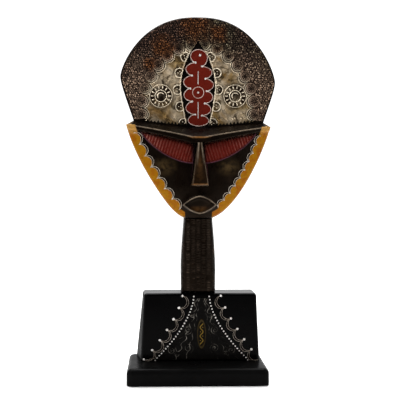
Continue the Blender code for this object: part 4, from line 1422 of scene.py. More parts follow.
class Finish:
    """A procedural material being put together."""

    def __init__(self, name, roughness, metallic=0.0, specular=0.5):
        self.material = bpy.data.materials.new(name)
        self.material.use_nodes = True
        self.tree = self.material.node_tree
        self.shader = self.tree.nodes["Principled BSDF"]
        self.put("Roughness", roughness)
        self.put("Metallic", metallic)
        self.put("Specular IOR Level", specular)
        source = self.add("ShaderNodeTexCoord")
        self.place = source.outputs["Object"]
        self.normal = source.outputs["Normal"]

    def add(self, kind, **settings):
        node = self.tree.nodes.new(kind)
        for key, value in settings.items():
            setattr(node, key, value)
        return node

    def feed(self, socket, value):
        if isinstance(value, bpy.types.NodeSocket):
            self.tree.links.new(value, socket)
        elif isinstance(value, tuple) and len(value) == 3 and socket.type == "RGBA":
            socket.default_value = (*value, 1.0)
        else:
            socket.default_value = value

    def put(self, name, value):
        self.feed(self.shader.inputs[name], value)

    def fed(self, kind, inputs, **settings):
        """A node with its inputs, by their names or numbers."""
        node = self.add(kind, **settings)
        for key, value in inputs.items():
            self.feed(node.inputs[key], value)
        return node

    def axis(self, vector, name):
        """One axis of a vector."""
        return self.fed("ShaderNodeSeparateXYZ", {0: vector}).outputs[name]

    def grain(self, scale, detail=3.0, stretch=None, distortion=0.0):
        place = self.place
        if stretch:
            mapping = self.fed("ShaderNodeMapping", {"Vector": place, "Scale": stretch})
            place = mapping.outputs["Vector"]
        inputs = {"Vector": place, "Scale": scale, "Detail": detail, "Distortion": distortion}
        return self.fed("ShaderNodeTexNoise", inputs).outputs["Fac"]

    def mark(self, name):
        """The value that the mesh's points carry under a name."""
        return self.add("ShaderNodeAttribute", attribute_name=name).outputs["Fac"]

    def maths(self, operation, a, b):
        node = self.fed("ShaderNodeMath", {0: a, 1: b}, operation=operation, use_clamp=True)
        return node.outputs[0]

    def times(self, a, b):
        return self.maths("MULTIPLY", a, b)

    def between(self, value, low, high, to_low=0.0, to_high=1.0):
        """The value's place between two others, with soft ends."""
        limits = {"From Min": low, "From Max": high, "To Min": to_low, "To Max": to_high}
        inputs = {"Value": value, **limits}
        node = self.fed("ShaderNodeMapRange", inputs, interpolation_type="SMOOTHSTEP")
        return node.outputs["Result"]

    def patches(self, scale, detail, low, high, to_low=0.0, to_high=1.0, distortion=0.0):
        """Soft-edged patches of grain."""
        grain = self.grain(scale, detail, distortion=distortion)
        return self.between(grain, low, high, to_low, to_high)

    def mixed(self, share, a, b):
        node = self.fed("ShaderNodeMix", {"Factor": share, 6: a, 7: b}, data_type="RGBA")
        return node.outputs[2]

    def layered(self, colour, *layers):
        """A colour with others laid over it, each by its share."""
        for share, over in layers:
            colour = self.mixed(share, colour, over)
        return colour

    def gloss(self, scale, detail, smooth, rough):
        """Roughness that wanders between two values."""
        self.put("Roughness", self.patches(scale, detail, 0.3, 0.7, smooth, rough))

    def bump(self, height, distance, strength=1.0):
        inputs = {"Height": height, "Distance": distance, "Strength": strength}
        self.put("Normal", self.fed("ShaderNodeBump", inputs).outputs["Normal"])


def lacquer_finish(name, specular, dark, pale, smooth, rough):
    """Black lacquer with faint brush unevenness and handling haze."""
    made = Finish(name, smooth, specular=specular)
    haze = made.grain(38, 4.0)
    made.put("Base Color", made.mixed(haze, dark, pale))
    sideways = made.axis(made.normal, "X")
    side = made.between(made.times(sideways, sideways), 0.50, 0.90)
    polish = made.between(haze, 0.3, 0.75, smooth, rough)
    made.put("Roughness", made.maths("ADD", polish, made.times(side, SIDE_HAZE)))
    made.bump(made.grain(260, 2.0, (1.0, 1.0, 0.35)), 0.00008, 0.4)
    return made.material


def painted_ochre(made):
    corner_z = made.axis(made.place, "Z")
    return made.layered(
        made.mixed(made.patches(75, 4.0, 0.42, 0.66, distortion=0.8), OCHRE_BRIGHT, OCHRE_DEEP),
        (made.patches(330, 3.0, 0.60, 0.80), OCHRE_SPECK),
        (made.between(corner_z, *OCHRE_CORNER_FADE, 0.0, 0.55), OCHRE_CORNER),
    )


def carved_finish():
    """Dark stained wood, with rubbed copper edges and painted rim, eyes and figure."""
    made = Finish("carved_wood_painted", 0.3, specular=0.09)
    made.put("Specular Tint", WARM_SHEEN)
    streaks = made.grain(160, 5.0, (1.0, 1.0, 0.16), 0.6)
    # Wear and painted highlight: pale on the outer eye ridges and along the lower edges of the neck's cuts.
    wear_and_highlight = made.times(made.mark("wear_and_highlight"), made.patches(180, 3.0, 0.30, 0.62))
    # Bronze rub and painted highlight: soft bronze patches on the cheeks.
    bronze_and_highlight = made.times(made.mark("bronze_and_highlight"), made.patches(95, 4.0, 0.30, 0.62))
    rub = made.times(made.mark("rub"), made.patches(210, 4.0, 0.26, 0.60, 0.35))
    # Wear and painted highlight: pale lines along the brow, the nose's edges and the lips.
    crest = made.times(made.mark("crest"), made.patches(170, 3.0, 0.25, 0.60, 0.45))
    red = made.mixed(made.grain(240, 4.0, (1.0, 1.0, 0.3)), EYE_RED_DARK, EYE_RED)
    colour = made.layered(
        made.mixed(streaks, WOOD_DARK, WOOD_BROWN),
        (made.patches(34, 3.0, 0.52, 0.75, 0.0, 0.6), WOOD_CLOUD),
        (wear_and_highlight, WOOD_WEAR_AND_HIGHLIGHT),
        (made.mark("ground"), STRIP_BLACK),
        (made.times(bronze_and_highlight, 0.8), CHEEK_BRONZE_AND_HIGHLIGHT),
        (rub, RUBBED_COPPER),
        (crest, PALE_WEAR_AND_HIGHLIGHT),
        (made.mark("ochre"), painted_ochre(made)),
        (made.mark("eye"), made.mixed(wear_and_highlight, red, EYE_WEAR_AND_HIGHLIGHT)),
        (made.times(made.mark("lid"), 0.8), LID_VIOLET),
        (made.mark("figure"), made.mixed(made.grain(120, 3.0), FIGURE_RED_DARK, FIGURE_RED)),
    )
    made.put("Base Color", colour)
    made.put("Metallic", made.times(rub, 0.45))
    made.gloss(70, 4.0, 0.24, 0.42)
    pores = made.maths("ADD", made.times(streaks, 0.7), made.times(made.grain(900, 2.0), 0.3))
    made.bump(pores, 0.00025, 0.55)
    return made.material


def border_finish():
    """Stippled sheet, stained dark brown, with rust-orange clouds, and bright tops: rubbed metal with
    painted glints.
    """
    made = Finish("stippled_sheet", 0.42, 0.75, 0.2)
    rise = made.mark("rise")
    # Bare metal and painted highlight: paler on the border's lower parts.
    bare_and_highlight = made.mark("bare_and_highlight")
    clouds = made.patches(30, 4.0, 0.60, 0.76, 0.0, 0.6, distortion=0.7)
    rust = made.maths("MAXIMUM", made.mark("rust"), clouds)
    olive = made.patches(17, 2.0, 0.42, 0.60)
    low, high, glint = [
        made.layered(ground, (bare_and_highlight, bare_and_highlight_colour), (rust, rust_colour))
        for ground, bare_and_highlight_colour, rust_colour in (
            (BORDER_DARK, BORDER_DARK_BARE_AND_HIGHLIGHT, BORDER_DARK_RUST),
            (made.mixed(olive, BORDER_BROWN, BORDER_OLIVE), BORDER_BARE_AND_HIGHLIGHT, BORDER_RUST),
            (made.mixed(olive, GLINT_BROWN, GLINT_OLIVE), GLINT_BARE_AND_HIGHLIGHT, GLINT_RUST),
        )
    ]
    # Painted highlight: glints on the highest bumps, over their rubbed metal.
    tops = made.times(made.between(rise, 0.60, 1.0), made.patches(420, 3.0, 0.38, 0.66))
    layers = [(made.between(rise, 0.12, 0.55), high), (tops, glint), (made.mark("line"), LOBE_LINE)]
    made.put("Base Color", made.layered(low, *layers))
    made.gloss(220, 3.0, 0.34, 0.55)
    made.bump(made.grain(1100, 3.0), 0.00018, 0.7)
    return made.material


def plate_finish():
    """Aged pale sheet: grey and tan clouds, dark patina and painted shade in the hollows and at the edges.
    """
    made = Finish("aged_sheet", 0.36, 0.8, 0.2)
    stain = made.patches(60, 5.0, 0.50, 0.64, distortion=1.6)
    colour = made.layered(
        made.mixed(made.patches(14, 3.0, 0.40, 0.60), SHEET_TAN, SHEET_SAND),
        (made.patches(26, 5.0, 0.36, 0.64, distortion=1.1), SHEET_PALE),
        (made.times(stain, 0.85), SHEET_STAIN),
        # Dark patina and painted shade at the edges and in the hollows.
        (made.mark("patina_and_shade"), SHEET_PATINA_AND_SHADE),
        (made.between(made.mark("rise"), 0.55, 0.90), SHEET_BRIGHT),
        (made.mark("tooth"), TOOTH_BLACK),
    )
    made.put("Base Color", colour)
    made.gloss(150, 4.0, 0.28, 0.50)
    made.bump(made.grain(520, 4.0), 0.00022, 0.6)
    return made.material


def panel_finish():
    """Dark stained sheet: dull lines, a brass-coloured cartouche."""
    made = Finish("stained_sheet", 0.4, 0.25, 0.06)
    shown = made.times(made.between(made.mark("rise"), 0.35, 0.9), made.patches(150, 4.0, 0.36, 0.60))
    colour = made.layered(
        made.mixed(made.grain(80, 4.0), PANEL_BLACK, PANEL_BROWN),
        (shown, made.mixed(made.grain(60, 3.0), PANEL_LINE_DARK, PANEL_LINE_PALE)),
        (made.mark("brass"), BRASS),
    )
    made.put("Base Color", colour)
    made.gloss(240, 3.0, 0.30, 0.50)
    made.bump(made.grain(700, 3.0), 0.00018, 0.6)
    return made.material


def bead_finish(name, low, high, metallic):
    """Thick paint in drops and lines."""
    made = Finish(name, 0.34, metallic)
    made.put("Base Color", made.mixed(made.patches(330, 4.0, 0.35, 0.65), low, high))
    made.gloss(500, 2.0, 0.26, 0.46)
    made.bump(made.grain(1400, 2.0), 0.00008, 0.5)
    return made.material


# Pieces


def new_piece(name, verts, faces, material):
    data = bpy.data.meshes.new(name)
    data.from_pydata(verts, [], faces)
    data.validate()
    data.shade_smooth()
    data.set_sharp_from_angle(angle=SMOOTH_ANGLE)
    data.materials.append(material)
    piece = bpy.data.objects.new(name, data)
    bpy.context.scene.collection.objects.link(piece)
    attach(piece, "root")
    return piece


def embossed(name, front, front_y, back_y, marks, material, back_round=0.0, paint_depth=0.0):
    """The meshed front at front_y, with walls and a flat back, and a mark on every point."""
    verts, faces = front
    used = sorted({i for face in faces for i in face})
    number = {i: n for n, i in enumerate(used)}
    points = [(verts[i].x, front_y(verts[i].x, verts[i].y), verts[i].y) for i in used]
    values = {key: [rule(verts[i].x, verts[i].y) for i in used] for key, rule in marks.items()}
    made = [tuple(number[i] for i in face) for face in faces]
    rims = []
    back = {}
    painted = [(paint_depth, 1.0), (paint_depth * PAINT_EDGE_SHARE, 0.0)] if paint_depth else []
    for loop in edge_loops(faces):
        flat = [(verts[i].x, verts[i].y) for i in loop]
        edge = [number[i] for i in loop]
        rim = inset_loop(flat, back_round) if back_round else flat
        rings = [edge]
        levels = [([points[n][1] + depth for n in edge], flat, share) for depth, share in painted]
        below = 0.0 if paint_depth else 1.0
        if back_round:
            levels.append(([back_y - back_round] * len(flat), flat, below))
        levels.append(([back_y] * len(rim), rim, below))
        for depths, places, share in levels:
            rings.append(range(len(points), len(points) + len(places)))
            points += [(x, y, z) for y, (x, z) in zip(depths, places)]
            for key in values:
                values[key] += [values[key][n] * share for n in edge]
        for upper, lower in zip(rings, rings[1:]):
            for (a, b), (c, d) in zip(joined_up(list(upper), True), joined_up(list(lower), True)):
                made.append((b, a, c, d))
        back.update(zip(map(place_key, rim), rings[-1]))
        rims.append(rim)

    def behind(x, z):
        return sum(in_polygon(x, z, rim) for rim in rims) % 2 == 1

    cap_lines = [line for rim in rims for line in joined_up(rim, closed=True)]
    cap_verts, cap_faces = triangulated(cap_lines, [], behind)
    for face in cap_faces:
        corners = [place_key(cap_verts[i]) for i in face]
        if all(corner in back for corner in corners):
            made.append(tuple(back[corner] for corner in corners[::-1]))
    piece = new_piece(name, points, made, material)
    if len(piece.data.vertices) != len(points):
        raise ValueError(name + " lost points")
    for key, numbers in values.items():
        layer = piece.data.attributes.new(key, "FLOAT", "POINT")
        layer.data.foreach_set("value", numbers)
    return piece


def ring_faces(first, rings, sides):
    """Faces between rings of points that follow each other in the list."""
    faces = []
    for start in range(first, first + (rings - 1) * sides, sides):
        for k in range(sides):
            a = start + k
            b = start + (k + 1) % sides
            faces.append((a, b, b + sides, a + sides))
    return faces


def tubes(name, paths, radius, material, sides=6):
    """Thin raised lines along paths of points."""
    verts = []
    faces = []
    out = Vector((0.0, -1.0, 0.0))
    for path in paths:
        first = len(verts)
        for i, here in enumerate(path):
            run = (path[min(i + 1, len(path) - 1)] - path[max(i - 1, 0)]).normalized()
            across = run.cross(out).normalized()
            thickness = radius * ranged(LINE_THICKNESS_SHARES, scatter(i, len(path)))
            for k in range(sides):
                turn = 2 * math.pi * k / sides
                verts.append(here + (across * math.cos(turn) + out * math.sin(turn)) * thickness)
        faces += ring_faces(first, len(path), sides)
        last = len(verts) - sides
        faces.append(tuple(range(first, first + sides))[::-1])
        faces.append(tuple(range(last, last + sides)))
    return new_piece(name, verts, faces, material)


def drops(name, places, radius, height, material, sides=12, rings=4):
    """Domed drops of paint, each standing on its place."""
    verts = []
    faces = []
    for count, centre in enumerate(places):
        size = radius * ranged(DROP_SIZE_SHARES, scatter(count, len(places)))
        first = len(verts)
        for ring in range(rings):
            up = math.pi / 2 * ring / rings
            out = size * math.cos(up)
            for k in range(sides):
                turn = 2 * math.pi * k / sides
                offset = (out * math.cos(turn), -height * math.sin(up), out * math.sin(turn))
                verts.append(centre + Vector(offset))
        faces += ring_faces(first, rings, sides)
        top = len(verts)
        verts.append(centre + Vector((0.0, -height, 0.0)))
        faces += [(top - sides + k, top - sides + (k + 1) % sides, top) for k in range(sides)]
    return new_piece(name, verts, faces, material)


def on_mask(x, z, lift=0.0):
    return Vector((x, CROWN_FRONT_Y - plank_rise(x, z) - lift, z))


def arc(centre, radius, first, last, steps):
    points = []
    for i in range(steps + 1):
        turn = first + (last - first) * i / steps
        points.append((centre[0] + radius * math.cos(turn), centre[1] + radius * math.sin(turn)))
    return points


def mask_marks(figure, strip):
    """The painted areas, the wear, and the painted highlights and shade of the plank, each as a rule of a
    place on its front.
    """
    rims = {side: Rim(side) for side in (-1.0, 1.0)}

    def ochre(x, z):
        if z < CHIN_Z + RIM_ABOVE_CHIN or z > brow_ridge_z(x) + RIM_OVER_BROW:
            return 0.0
        if z < mouth_z() + RIM_MOUTH_CLEAR and abs(x) < NECK_TOP_WIDTH / 2 - RIM_NECK_LAP:
            return 0.0
        return clamp(0.5 + rims[side_of(x)].inside(x, z) / RIM_BLUR)

    def eye(x, z):
        # Painted shade: the red of the eye fades into the dark wood under the brow and towards the nose.
        shade = eased(0.25 + (eye_top_z(x) - EYE_WALL - z) / EYE_SHADE_TOP)
        shade *= eased(0.20 + (abs(x) - EYE_INNER_X) / EYE_SHADE_INNER)
        return clamp(0.5 + eye_inside(x, z) / EYE_BLUR) * shade

    def face_only(rule):
        return lambda x, z: rule(x, z) if CHIN_Z < z < band_top_z(x) else 0.0

    def figure_area(x, z):
        return 1.0 if z > BROW_Z - BROW_DIP and in_polygon(x, z, figure) else 0.0

    def ground(x, z):
        return 1.0 if z > band_top_z(x) - STRIP_GROUND_DROP and in_polygon(x, z, strip) else 0.0

    return {
        "ochre": ochre,
        "eye": face_only(eye),
        "rub": face_only(rub_on_face),
        "bronze_and_highlight": face_only(bronze_and_highlight_on_cheeks),
        "crest": face_only(wear_and_highlight_on_edges),
        "wear_and_highlight": lambda x, z: wear_and_highlight_on_plank(x, z) if z < band_top_z(x) else 0.0,
        "lid": face_only(lid_on_face),
        "figure": figure_area,
        "ground": ground,
    }


def dress_mask(material):
    outline = plank_outline()
    figure = figure_outline()
    strip = strip_outline(STRIP_GROUND_REACH)
    lines = joined_up(outline, closed=True)
    for share in (0.5, 1.0):
        lines += joined_up(inset_loop(outline, EDGE_ROUND * share), closed=True)
    lines += line_across(brow_ridge_z, FACE_WIDTH / 2 - EDGE_ROUND * 1.5, CROSS_LINE_STEPS)
    lines += line_across(band_top_z, FACE_WIDTH / 2, CROSS_LINE_STEPS)
    neck_reach = NECK_TOP_WIDTH / 2 - EDGE_ROUND
    lines += [((-neck_reach, z), (neck_reach, z)) for z in (CHIN_Z, CHIN_Z - CHIN_LINE_STEP)]
    lines += eye_lines(1.0) + eye_lines(-1.0) + nose_lines() + joined_up(figure, closed=True)
    edge = tree_along(outline, closed=True)

    def keep(x, z):
        return in_polygon(x, z, outline)

    def carved(x, z):
        return (z < band_top_z(x) or in_polygon(x, z, strip)) and keep(x, z)

    def front_y(x, z):
        drop = EDGE_DROP * (1 - eased(edge.find((x, z, 0.0))[2] / EDGE_ROUND))
        return CROWN_FRONT_Y - mask_rise(x, z) + drop

    low = (-FACE_WIDTH / 2, NECK_FOOT_Z)
    front = filled(lines, low, (FACE_WIDTH / 2, CROWN_TOP_Z), MASK_SPACING, keep, carved)
    marks = mask_marks(figure, strip)
    piece = embossed("carved_mask", front, front_y, BACK_Y, marks, material, EDGE_ROUND, PAINT_DEPTH)
    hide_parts("mask")


def dress_border(material):
    edge = crown_edge()
    strip = strip_outline(GAP)
    barred = [strip] + [field_outline(side, 0.0) for side in (1.0, -1.0)]

    def keep(x, z):
        if z < sheet_foot_z(x) or not in_polygon(x, z, edge):
            return False
        return not any(in_polygon(x, z, outline) for outline in barred)

    lines = joined_up(edge, closed=True) + sheet_foot_lines() + joined_up(strip)
    for side in (1.0, -1.0):
        lines += joined_up(scallop_line(side, 0.0))
    low = (-CROWN_WIDTH / 2, BROW_Z - BROW_DIP)
    front = filled(lines, low, (CROWN_WIDTH / 2, CROWN_TOP_Z), BORDER_SPACING, keep)
    height = cache(Border().rise)
    back_y = CROWN_FRONT_Y - GAP

    def rust(x, z):
        found = max(0.0, *(1 - math.hypot(x - cx, z - cz) / reach for cx, cz, reach in RUST_PLACES))
        return clamp(found * 1.6 + 0.5 * noise.noise((x * 120, z * 120, 4.0)) * (found > 0))

    def bare_and_highlight(x, z):
        # Bare metal and painted highlight: paler on the border's lower parts, less on the lobes.
        low_and_out = (BROW_Z + BARE_AND_HIGHLIGHT_HEIGHT - z - 0.25 * abs(x)) / BARE_AND_HIGHLIGHT_FADE
        wear_and_highlight = clamp(low_and_out + 0.4 * noise.noise((x * 60, z * 60, 9.0)))
        return wear_and_highlight * (1 - 0.75 * clamp(height(x, z)[1]))

    marks = {
        "rise": lambda x, z: clamp(height(x, z)[0]),
        "line": lambda x, z: clamp(height(x, z)[0] - 0.55) * 1.3 * clamp(height(x, z)[1] * 1.5),
        "rust": rust,
        "bare_and_highlight": bare_and_highlight,
    }

    def front_y(x, z):
        return back_y - SHEET_THICKNESS - BORDER_HEIGHT * height(x, z)[0]

    piece = embossed("crown_border_embossed", front, front_y, back_y, marks, material)
    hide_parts("crown_border")


def dress_plate(name, node, side, material):
    field = field_outline(side, GAP)
    strip = strip_outline(2 * GAP)

    def keep(x, z):
        return z > sheet_foot_z(x) and in_polygon(x, z, field) and not in_polygon(x, z, strip)

    lines = sheet_foot_lines() + joined_up(scallop_line(side, GAP)) + joined_up(strip)
    front = filled(lines, (-ARCH_HALF, BROW_Z - BROW_DIP), (ARCH_HALF, ARCH_TOP_Z), PLATE_SPACING, keep)
    relief = Plate(side)
    height = cache(relief.rise)
    back_y = CROWN_FRONT_Y - GAP

    def front_y(x, z):
        made, from_edge = height(x, z)
        dent = DENT_HEIGHT * relief.dents(x, z) * clamp(from_edge / DENT_FADE)
        return back_y - SHEET_THICKNESS - PLATE_HEIGHT * made - max(-DENT_DEPTH, dent)

    def patina_and_shade(x, z):
        # Dark patina and painted shade: near the lobed edge, round the rosette and bosses and towards the
        # foot, not on raised parts.
        made, from_edge = height(x, z)
        found = max(
            1 - clamp(from_edge / PATINA_AND_SHADE_EDGE_REACH),
            clamp(3.0 - 2.1 * math.dist((x, z), relief.rosette) / ROSETTE_RADIUS),
            *(clamp(3.4 - 2.4 * math.dist((x, z), boss) / BOSS_RADIUS) for boss in relief.bosses),
            0.50 * clamp(1 - (z - band_top_z(x)) / PATINA_AND_SHADE_FOOT_REACH),
        )
        wander = 0.92 + 0.6 * noise.noise((x * 90, z * 90, 8.0))
        return clamp(found * wander) * (1 - clamp((made - 0.5) * 2.5))

    marks = {"rise": lambda x, z: clamp(height(x, z)[0]), "patina_and_shade": patina_and_shade, "tooth": tooth}
    piece = embossed(name, front, front_y, back_y, marks, material)
    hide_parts(node)


def dress_panel(material):
    top_z = BLOCK_TOP_Z - PANEL_MARGIN - BLOCK_ROUND
    foot_z = BLOCK_FOOT_Z + PANEL_MARGIN
    heights = spaced(foot_z, top_z, PANEL_EDGE_STEPS)
    outline = [(PANEL_SHIFT + panel_half(z), z) for z in heights]
    outline += [(PANEL_SHIFT - panel_half(z), z) for z in heights][::-1]

    def keep(x, z):
        return in_polygon(x, z, outline)

    low = (PANEL_SHIFT - PANEL_FOOT_HALF, foot_z)
    high = (PANEL_SHIFT + PANEL_FOOT_HALF, top_z)
    front = filled(joined_up(outline, closed=True), low, high, PANEL_SPACING, keep)
    relief = Panel()
    height = cache(relief.rise)
    back_y = BLOCK_FRONT - GAP

    def brass(x, z):
        span = relief.cartouche(x, z)
        return clamp(relief.vine(x, z) * 1.3) if span < CARTOUCHE_FIELD_SHARE else 0.12 * (span < 1.0)

    def rise(x, z):
        return clamp(height(x, z)) * (CARTOUCHE_RIM_SHINE if relief.cartouche(x, z) < 1.0 else 1.0)

    def front_y(x, z):
        return back_y - PANEL_THICKNESS - PANEL_HEIGHT * height(x, z)

    marks = {"rise": rise, "brass": brass}
    piece = embossed("base_panel_embossed", front, front_y, back_y, marks, material)
    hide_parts("base_panel")


def paint_figure(material, white):
    """Raised outline, dots and lines of the figure on the strip."""
    outline = figure_outline()
    middle_x = FIGURE_SHIFT - FIGURE_RING_ASIDE
    ring_z = BROW_Z + FIGURE_RING_HEIGHT
    ring = arc((middle_x, ring_z), FIGURE_RING_RADIUS, 0.0, 2 * math.pi, 28)
    paths = [[on_mask(x, z) for x, z in line] for line in (outline + outline[:1], ring)]
    notches = [notch for side in (-1.0, 1.0) for notch in figure_notches(side)]
    arms = []
    for notch in notches:
        near = [p for p in outline if NO_LENGTH < math.dist(p, notch) < FIGURE_ARM]
        near.sort(key=lambda p: math.dist(p, notch))
        for way in (1, -1):
            line = [p for p in near if (p[1] - notch[1]) * way > 0]
            if line:
                arms.append([on_mask(x, z) for x, z in [notch] + line])
    stem_x = FIGURE_SHIFT - FIGURE_STEM_ASIDE
    stems = [[on_mask(stem_x, BROW_Z + up) for up in spaced(*ends, 12)] for ends in FIGURE_STEMS]
    places = [on_mask(x, z) for x, z in notches + [(middle_x, ring_z)]]
    places.append(on_mask(FIGURE_SHIFT + FIGURE_EYE_ASIDE, BROW_Z + FIGURE_TOP - FIGURE_EYE_DROP))
    tubes("figure_outline", paths, FIGURE_LINE_RADIUS, material)
    tubes("figure_arms", arms, FIGURE_ARM_RADIUS, white)
    tubes("figure_stems", stems, FIGURE_STEM_RADIUS, white)
    drops("figure_dots", places, FIGURE_DOT_RADIUS, FIGURE_DOT_HEIGHT, white)


def bowed(a, b, bulge):
    """A circular arc between two places, standing out from their chord by the bulge."""
    run = Vector((b[0] - a[0], b[1] - a[1]))
    half = run.length / 2
    radius = (half * half + bulge * bulge) / (2 * abs(bulge))
    across = Vector((-run.y, run.x)).normalized()
    if across.x * bulge < 0:
        across = -across
    centre = (Vector(a) + Vector(b)) / 2 + across * (abs(bulge) - radius)
    toward = math.atan2(across.y, across.x)
    half_turn = math.atan2(half, radius - abs(bulge))
    points = arc(centre, radius, toward - half_turn, toward + half_turn, BOW_STEPS)
    return points if math.dist(points[0], a) < math.dist(points[-1], a) else points[::-1]


def rim_arcs(side, beyond):
    """An arc over each lobe of the rim, between its notches, standing out past the lobe's edge."""
    lobes = rim_lobes(side)
    radius = RIM_LOBE_RADII[side]
    notches = []
    for here, after in zip(lobes, lobes[1:]):
        run = Vector((after[0] - here[0], after[1] - here[1]))
        middle = (Vector(here) + Vector(after)) / 2
        inward = Vector((-run.y, run.x)).normalized() * -side
        depth = math.sqrt(max(0.0, radius**2 - run.length_squared / 4))
        notches.append(middle + inward * depth)
    first = notches[0] * 2 - notches[1]
    last = notches[-1] * 2 - notches[-2]
    notches = [first] + notches + [last]
    paths = []
    for a, b in zip(notches, notches[1:]):
        half = (b - a).length / 2
        bulge = radius - math.sqrt(max(0.0, radius**2 - half**2)) + beyond
        paths.append([on_mask(x, z, RIM_LINE_LIFT) for x, z in bowed(a, b, -side * bulge)])
    return paths


def paint_face(material):
    """Double thin lines round the lobes of the rim, meeting at the notches."""
    for name, beyond, share in RIM_LINES:
        paths = rim_arcs(-1.0, beyond) + rim_arcs(1.0, beyond)
        tubes(name, paths, LINE_RADIUS * share, material)


def swag_lines():
    """Lines of the swags between the big dots, and the dots' places."""
    paths = []
    dots = []
    for side in (-1.0, 1.0):
        line = []
        for z in spaced(BLOCK_TOP_Z - SWAG_TOP_DROP, BLOCK_FOOT_Z + SWAG_FOOT_RISE, BASE_LINE_STEPS):
            middle = math.sin(math.pi * (BLOCK_TOP_Z - z) / BLOCK_HEIGHT)
            offset = BIG_DOT_OFFSET * (0.82 + BIG_DOT_BOWS[side] * middle)
            line.append((PANEL_SHIFT + side * (panel_half(z) + offset), z))
        places = along(line, BIG_DOTS, 0.0, 1.0)
        dots += places
        for a, b in zip(places, places[1:]):
            paths += [bowed(a, b, -side * bulge) for bulge in (SWAG_OUTER, SWAG_INNER)]
    return paths, dots


def inside_block(x, z):
    """Distance from the nearer side edge of the block's front, negative outside."""
    down = (BLOCK_TOP_Z - z) / BLOCK_HEIGHT
    half = (BLOCK_TOP_WIDTH + (BLOCK_FOOT_WIDTH - BLOCK_TOP_WIDTH) * down) / 2
    return half - abs(x - BLOCK_SHIFT)


def paint_base(material, white):
    """Dots and swags of raised paint on the block's front."""
    lines, dots = swag_lines()
    low_z = BLOCK_FOOT_Z + SWAG_CLEAR
    high_z = BLOCK_TOP_Z - BLOCK_ROUND * 0.9

    def on_block(x, z):
        beside_panel = abs(x - PANEL_SHIFT) > panel_half(z) + SWAG_PANEL_CLEAR
        return low_z < z < high_z and inside_block(x, z) > SWAG_EDGE_CLEAR and beside_panel

    runs = [[Vector((x, BLOCK_FRONT, z)) for x, z in line if on_block(x, z)] for line in lines]
    kept = [run for run in runs if len(run) >= SWAG_FEWEST_POINTS]
    big = [Vector((x, BLOCK_FRONT, z)) for x, z in dots if inside_block(x, z) > BIG_DOT_RADIUS]
    panel_foot = BLOCK_FOOT_Z + PANEL_MARGIN + SMALL_DOT_RADIUS
    panel_top = BLOCK_TOP_Z - PANEL_MARGIN - BLOCK_ROUND - SMALL_DOT_RADIUS
    heights = spaced(
        BLOCK_TOP_Z - BLOCK_ROUND - SMALL_DOT_TOP_DROP, BLOCK_FOOT_Z + SMALL_DOT_FOOT_RISE, BASE_LINE_STEPS
    )
    small = []
    for side in (-1.0, 1.0):
        line = [(PANEL_SHIFT + side * (panel_half(z) - SMALL_DOT_INSET), z) for z in heights]
        for x, z in along(line, SMALL_DOTS, 0.0, 1.0):
            forward = GAP + PANEL_THICKNESS if panel_foot < z < panel_top else 0.0
            small.append(Vector((x, BLOCK_FRONT - forward, z)))
    tubes("base_swags", kept, LINE_RADIUS * 0.85, material)
    drops("base_big_dots", big, BIG_DOT_RADIUS, BIG_DOT_HEIGHT, white)
    small_dots = drops("base_small_dots", small, SMALL_DOT_RADIUS, SMALL_DOT_HEIGHT, white, 10, 3)


# Stage


def light(name, place, aim, width, height, power):
    data = bpy.data.lights.new(name, "AREA")
    data.shape = "RECTANGLE"
    data.size = width
    data.size_y = height
    data.energy = power
    lamp = bpy.data.objects.new(name, data)
    lamp.location = place
    lamp.rotation_euler = (Vector(aim) - Vector(place)).to_track_quat("-Z", "Y").to_euler()
    bpy.context.scene.collection.objects.link(lamp)


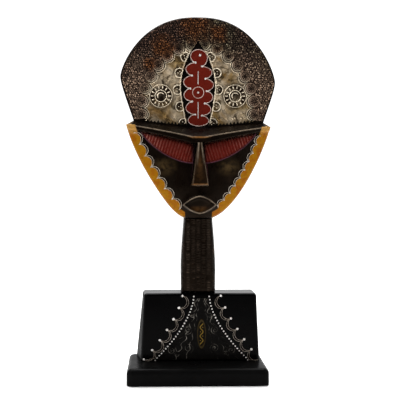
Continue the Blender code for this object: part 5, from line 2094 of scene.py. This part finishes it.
def set_floor():
    """A pale floor, greyer well in front of the object."""
    data = bpy.data.meshes.new("floor")
    corners = [(x * FLOOR_HALF, y * FLOOR_HALF, 0) for x, y in ((-1, -1), (1, -1), (1, 1), (-1, 1))]
    data.from_pydata(corners, [], [(0, 1, 2, 3)])
    floor = bpy.data.objects.new("floor", data)
    bpy.context.scene.collection.objects.link(floor)
    made = Finish("pale_floor", 0.7, specular=0.2)
    behind = made.between(made.axis(made.place, "Y"), *FLOOR_FADE)
    pale = made.mixed(made.grain(3.0), FLOOR_PALE, FLOOR_PALER)
    made.put("Base Color", made.mixed(behind, FLOOR_GREY, pale))
    data.materials.append(made.material)
    floor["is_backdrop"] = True


def set_world():
    """A white surrounding, bright behind the object and dim in front of it."""
    world = bpy.data.worlds.new("studio")
    bpy.context.scene.world = world
    world.use_nodes = True
    tree = world.node_tree
    place = tree.nodes.new("ShaderNodeTexCoord")
    split = tree.nodes.new("ShaderNodeSeparateXYZ")
    tree.links.new(place.outputs["Generated"], split.inputs[0])
    fall = tree.nodes.new("ShaderNodeMapRange")
    fall.interpolation_type = "SMOOTHSTEP"
    tree.links.new(split.outputs["Y"], fall.inputs["Value"])
    for key, number in WORLD_FALL.items():
        fall.inputs[key].default_value = number
    background = tree.nodes["Background"]
    tree.links.new(fall.outputs["Result"], background.inputs["Strength"])
    background.inputs["Color"].default_value = (1.0, 1.0, 1.0, 1.0)


def set_stage():
    set_floor()
    set_world()
    for values in LIGHTS:
        light(*values)
    bpy.context.scene.view_settings.view_transform = "Standard"


def set_camera():
    yaw, pitch = math.radians(CAMERA_YAW), math.radians(CAMERA_PITCH)
    ahead = Vector((math.sin(yaw) * math.cos(pitch), math.cos(yaw) * math.cos(pitch), -math.sin(pitch)))
    data = bpy.data.cameras.new("camera")
    camera = bpy.data.objects.new("camera", data)
    camera.location = CAMERA_PLACE
    camera.rotation_euler = ahead.to_track_quat("-Z", "Y").to_euler()
    data.sensor_width = 36.0
    data.lens = CAMERA_LENS
    data.shift_x = CAMERA_SHIFT
    data.clip_start = 0.02
    data.clip_end = 60.0
    bpy.context.scene.collection.objects.link(camera)
    bpy.context.scene.camera = camera


def main():
    set_camera()
    set_stage()
    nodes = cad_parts
    nodes["base_block"].data.materials[0] = lacquer_finish("black_lacquer_gloss", *GLOSS_LACQUER)
    nodes["plinth"].data.materials[0] = lacquer_finish("black_lacquer_satin", *SATIN_LACQUER)
    dress_mask(carved_finish())
    dress_border(border_finish())
    sheet = plate_finish()
    dress_plate("crown_plate_left_embossed", "crown_plate_left", -1.0, sheet)
    dress_plate("crown_plate_right_embossed", "crown_plate_right", 1.0, sheet)
    dress_panel(panel_finish())
    silver, bronze, white, pink = [bead_finish(*values) for values in PAINTS]
    paint_figure(pink, white)
    paint_face(silver)
    paint_base(bronze, white)


main()
dressed_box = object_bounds()
[[list(corner) for corner in box] for box in (cad_box, dressed_box)]
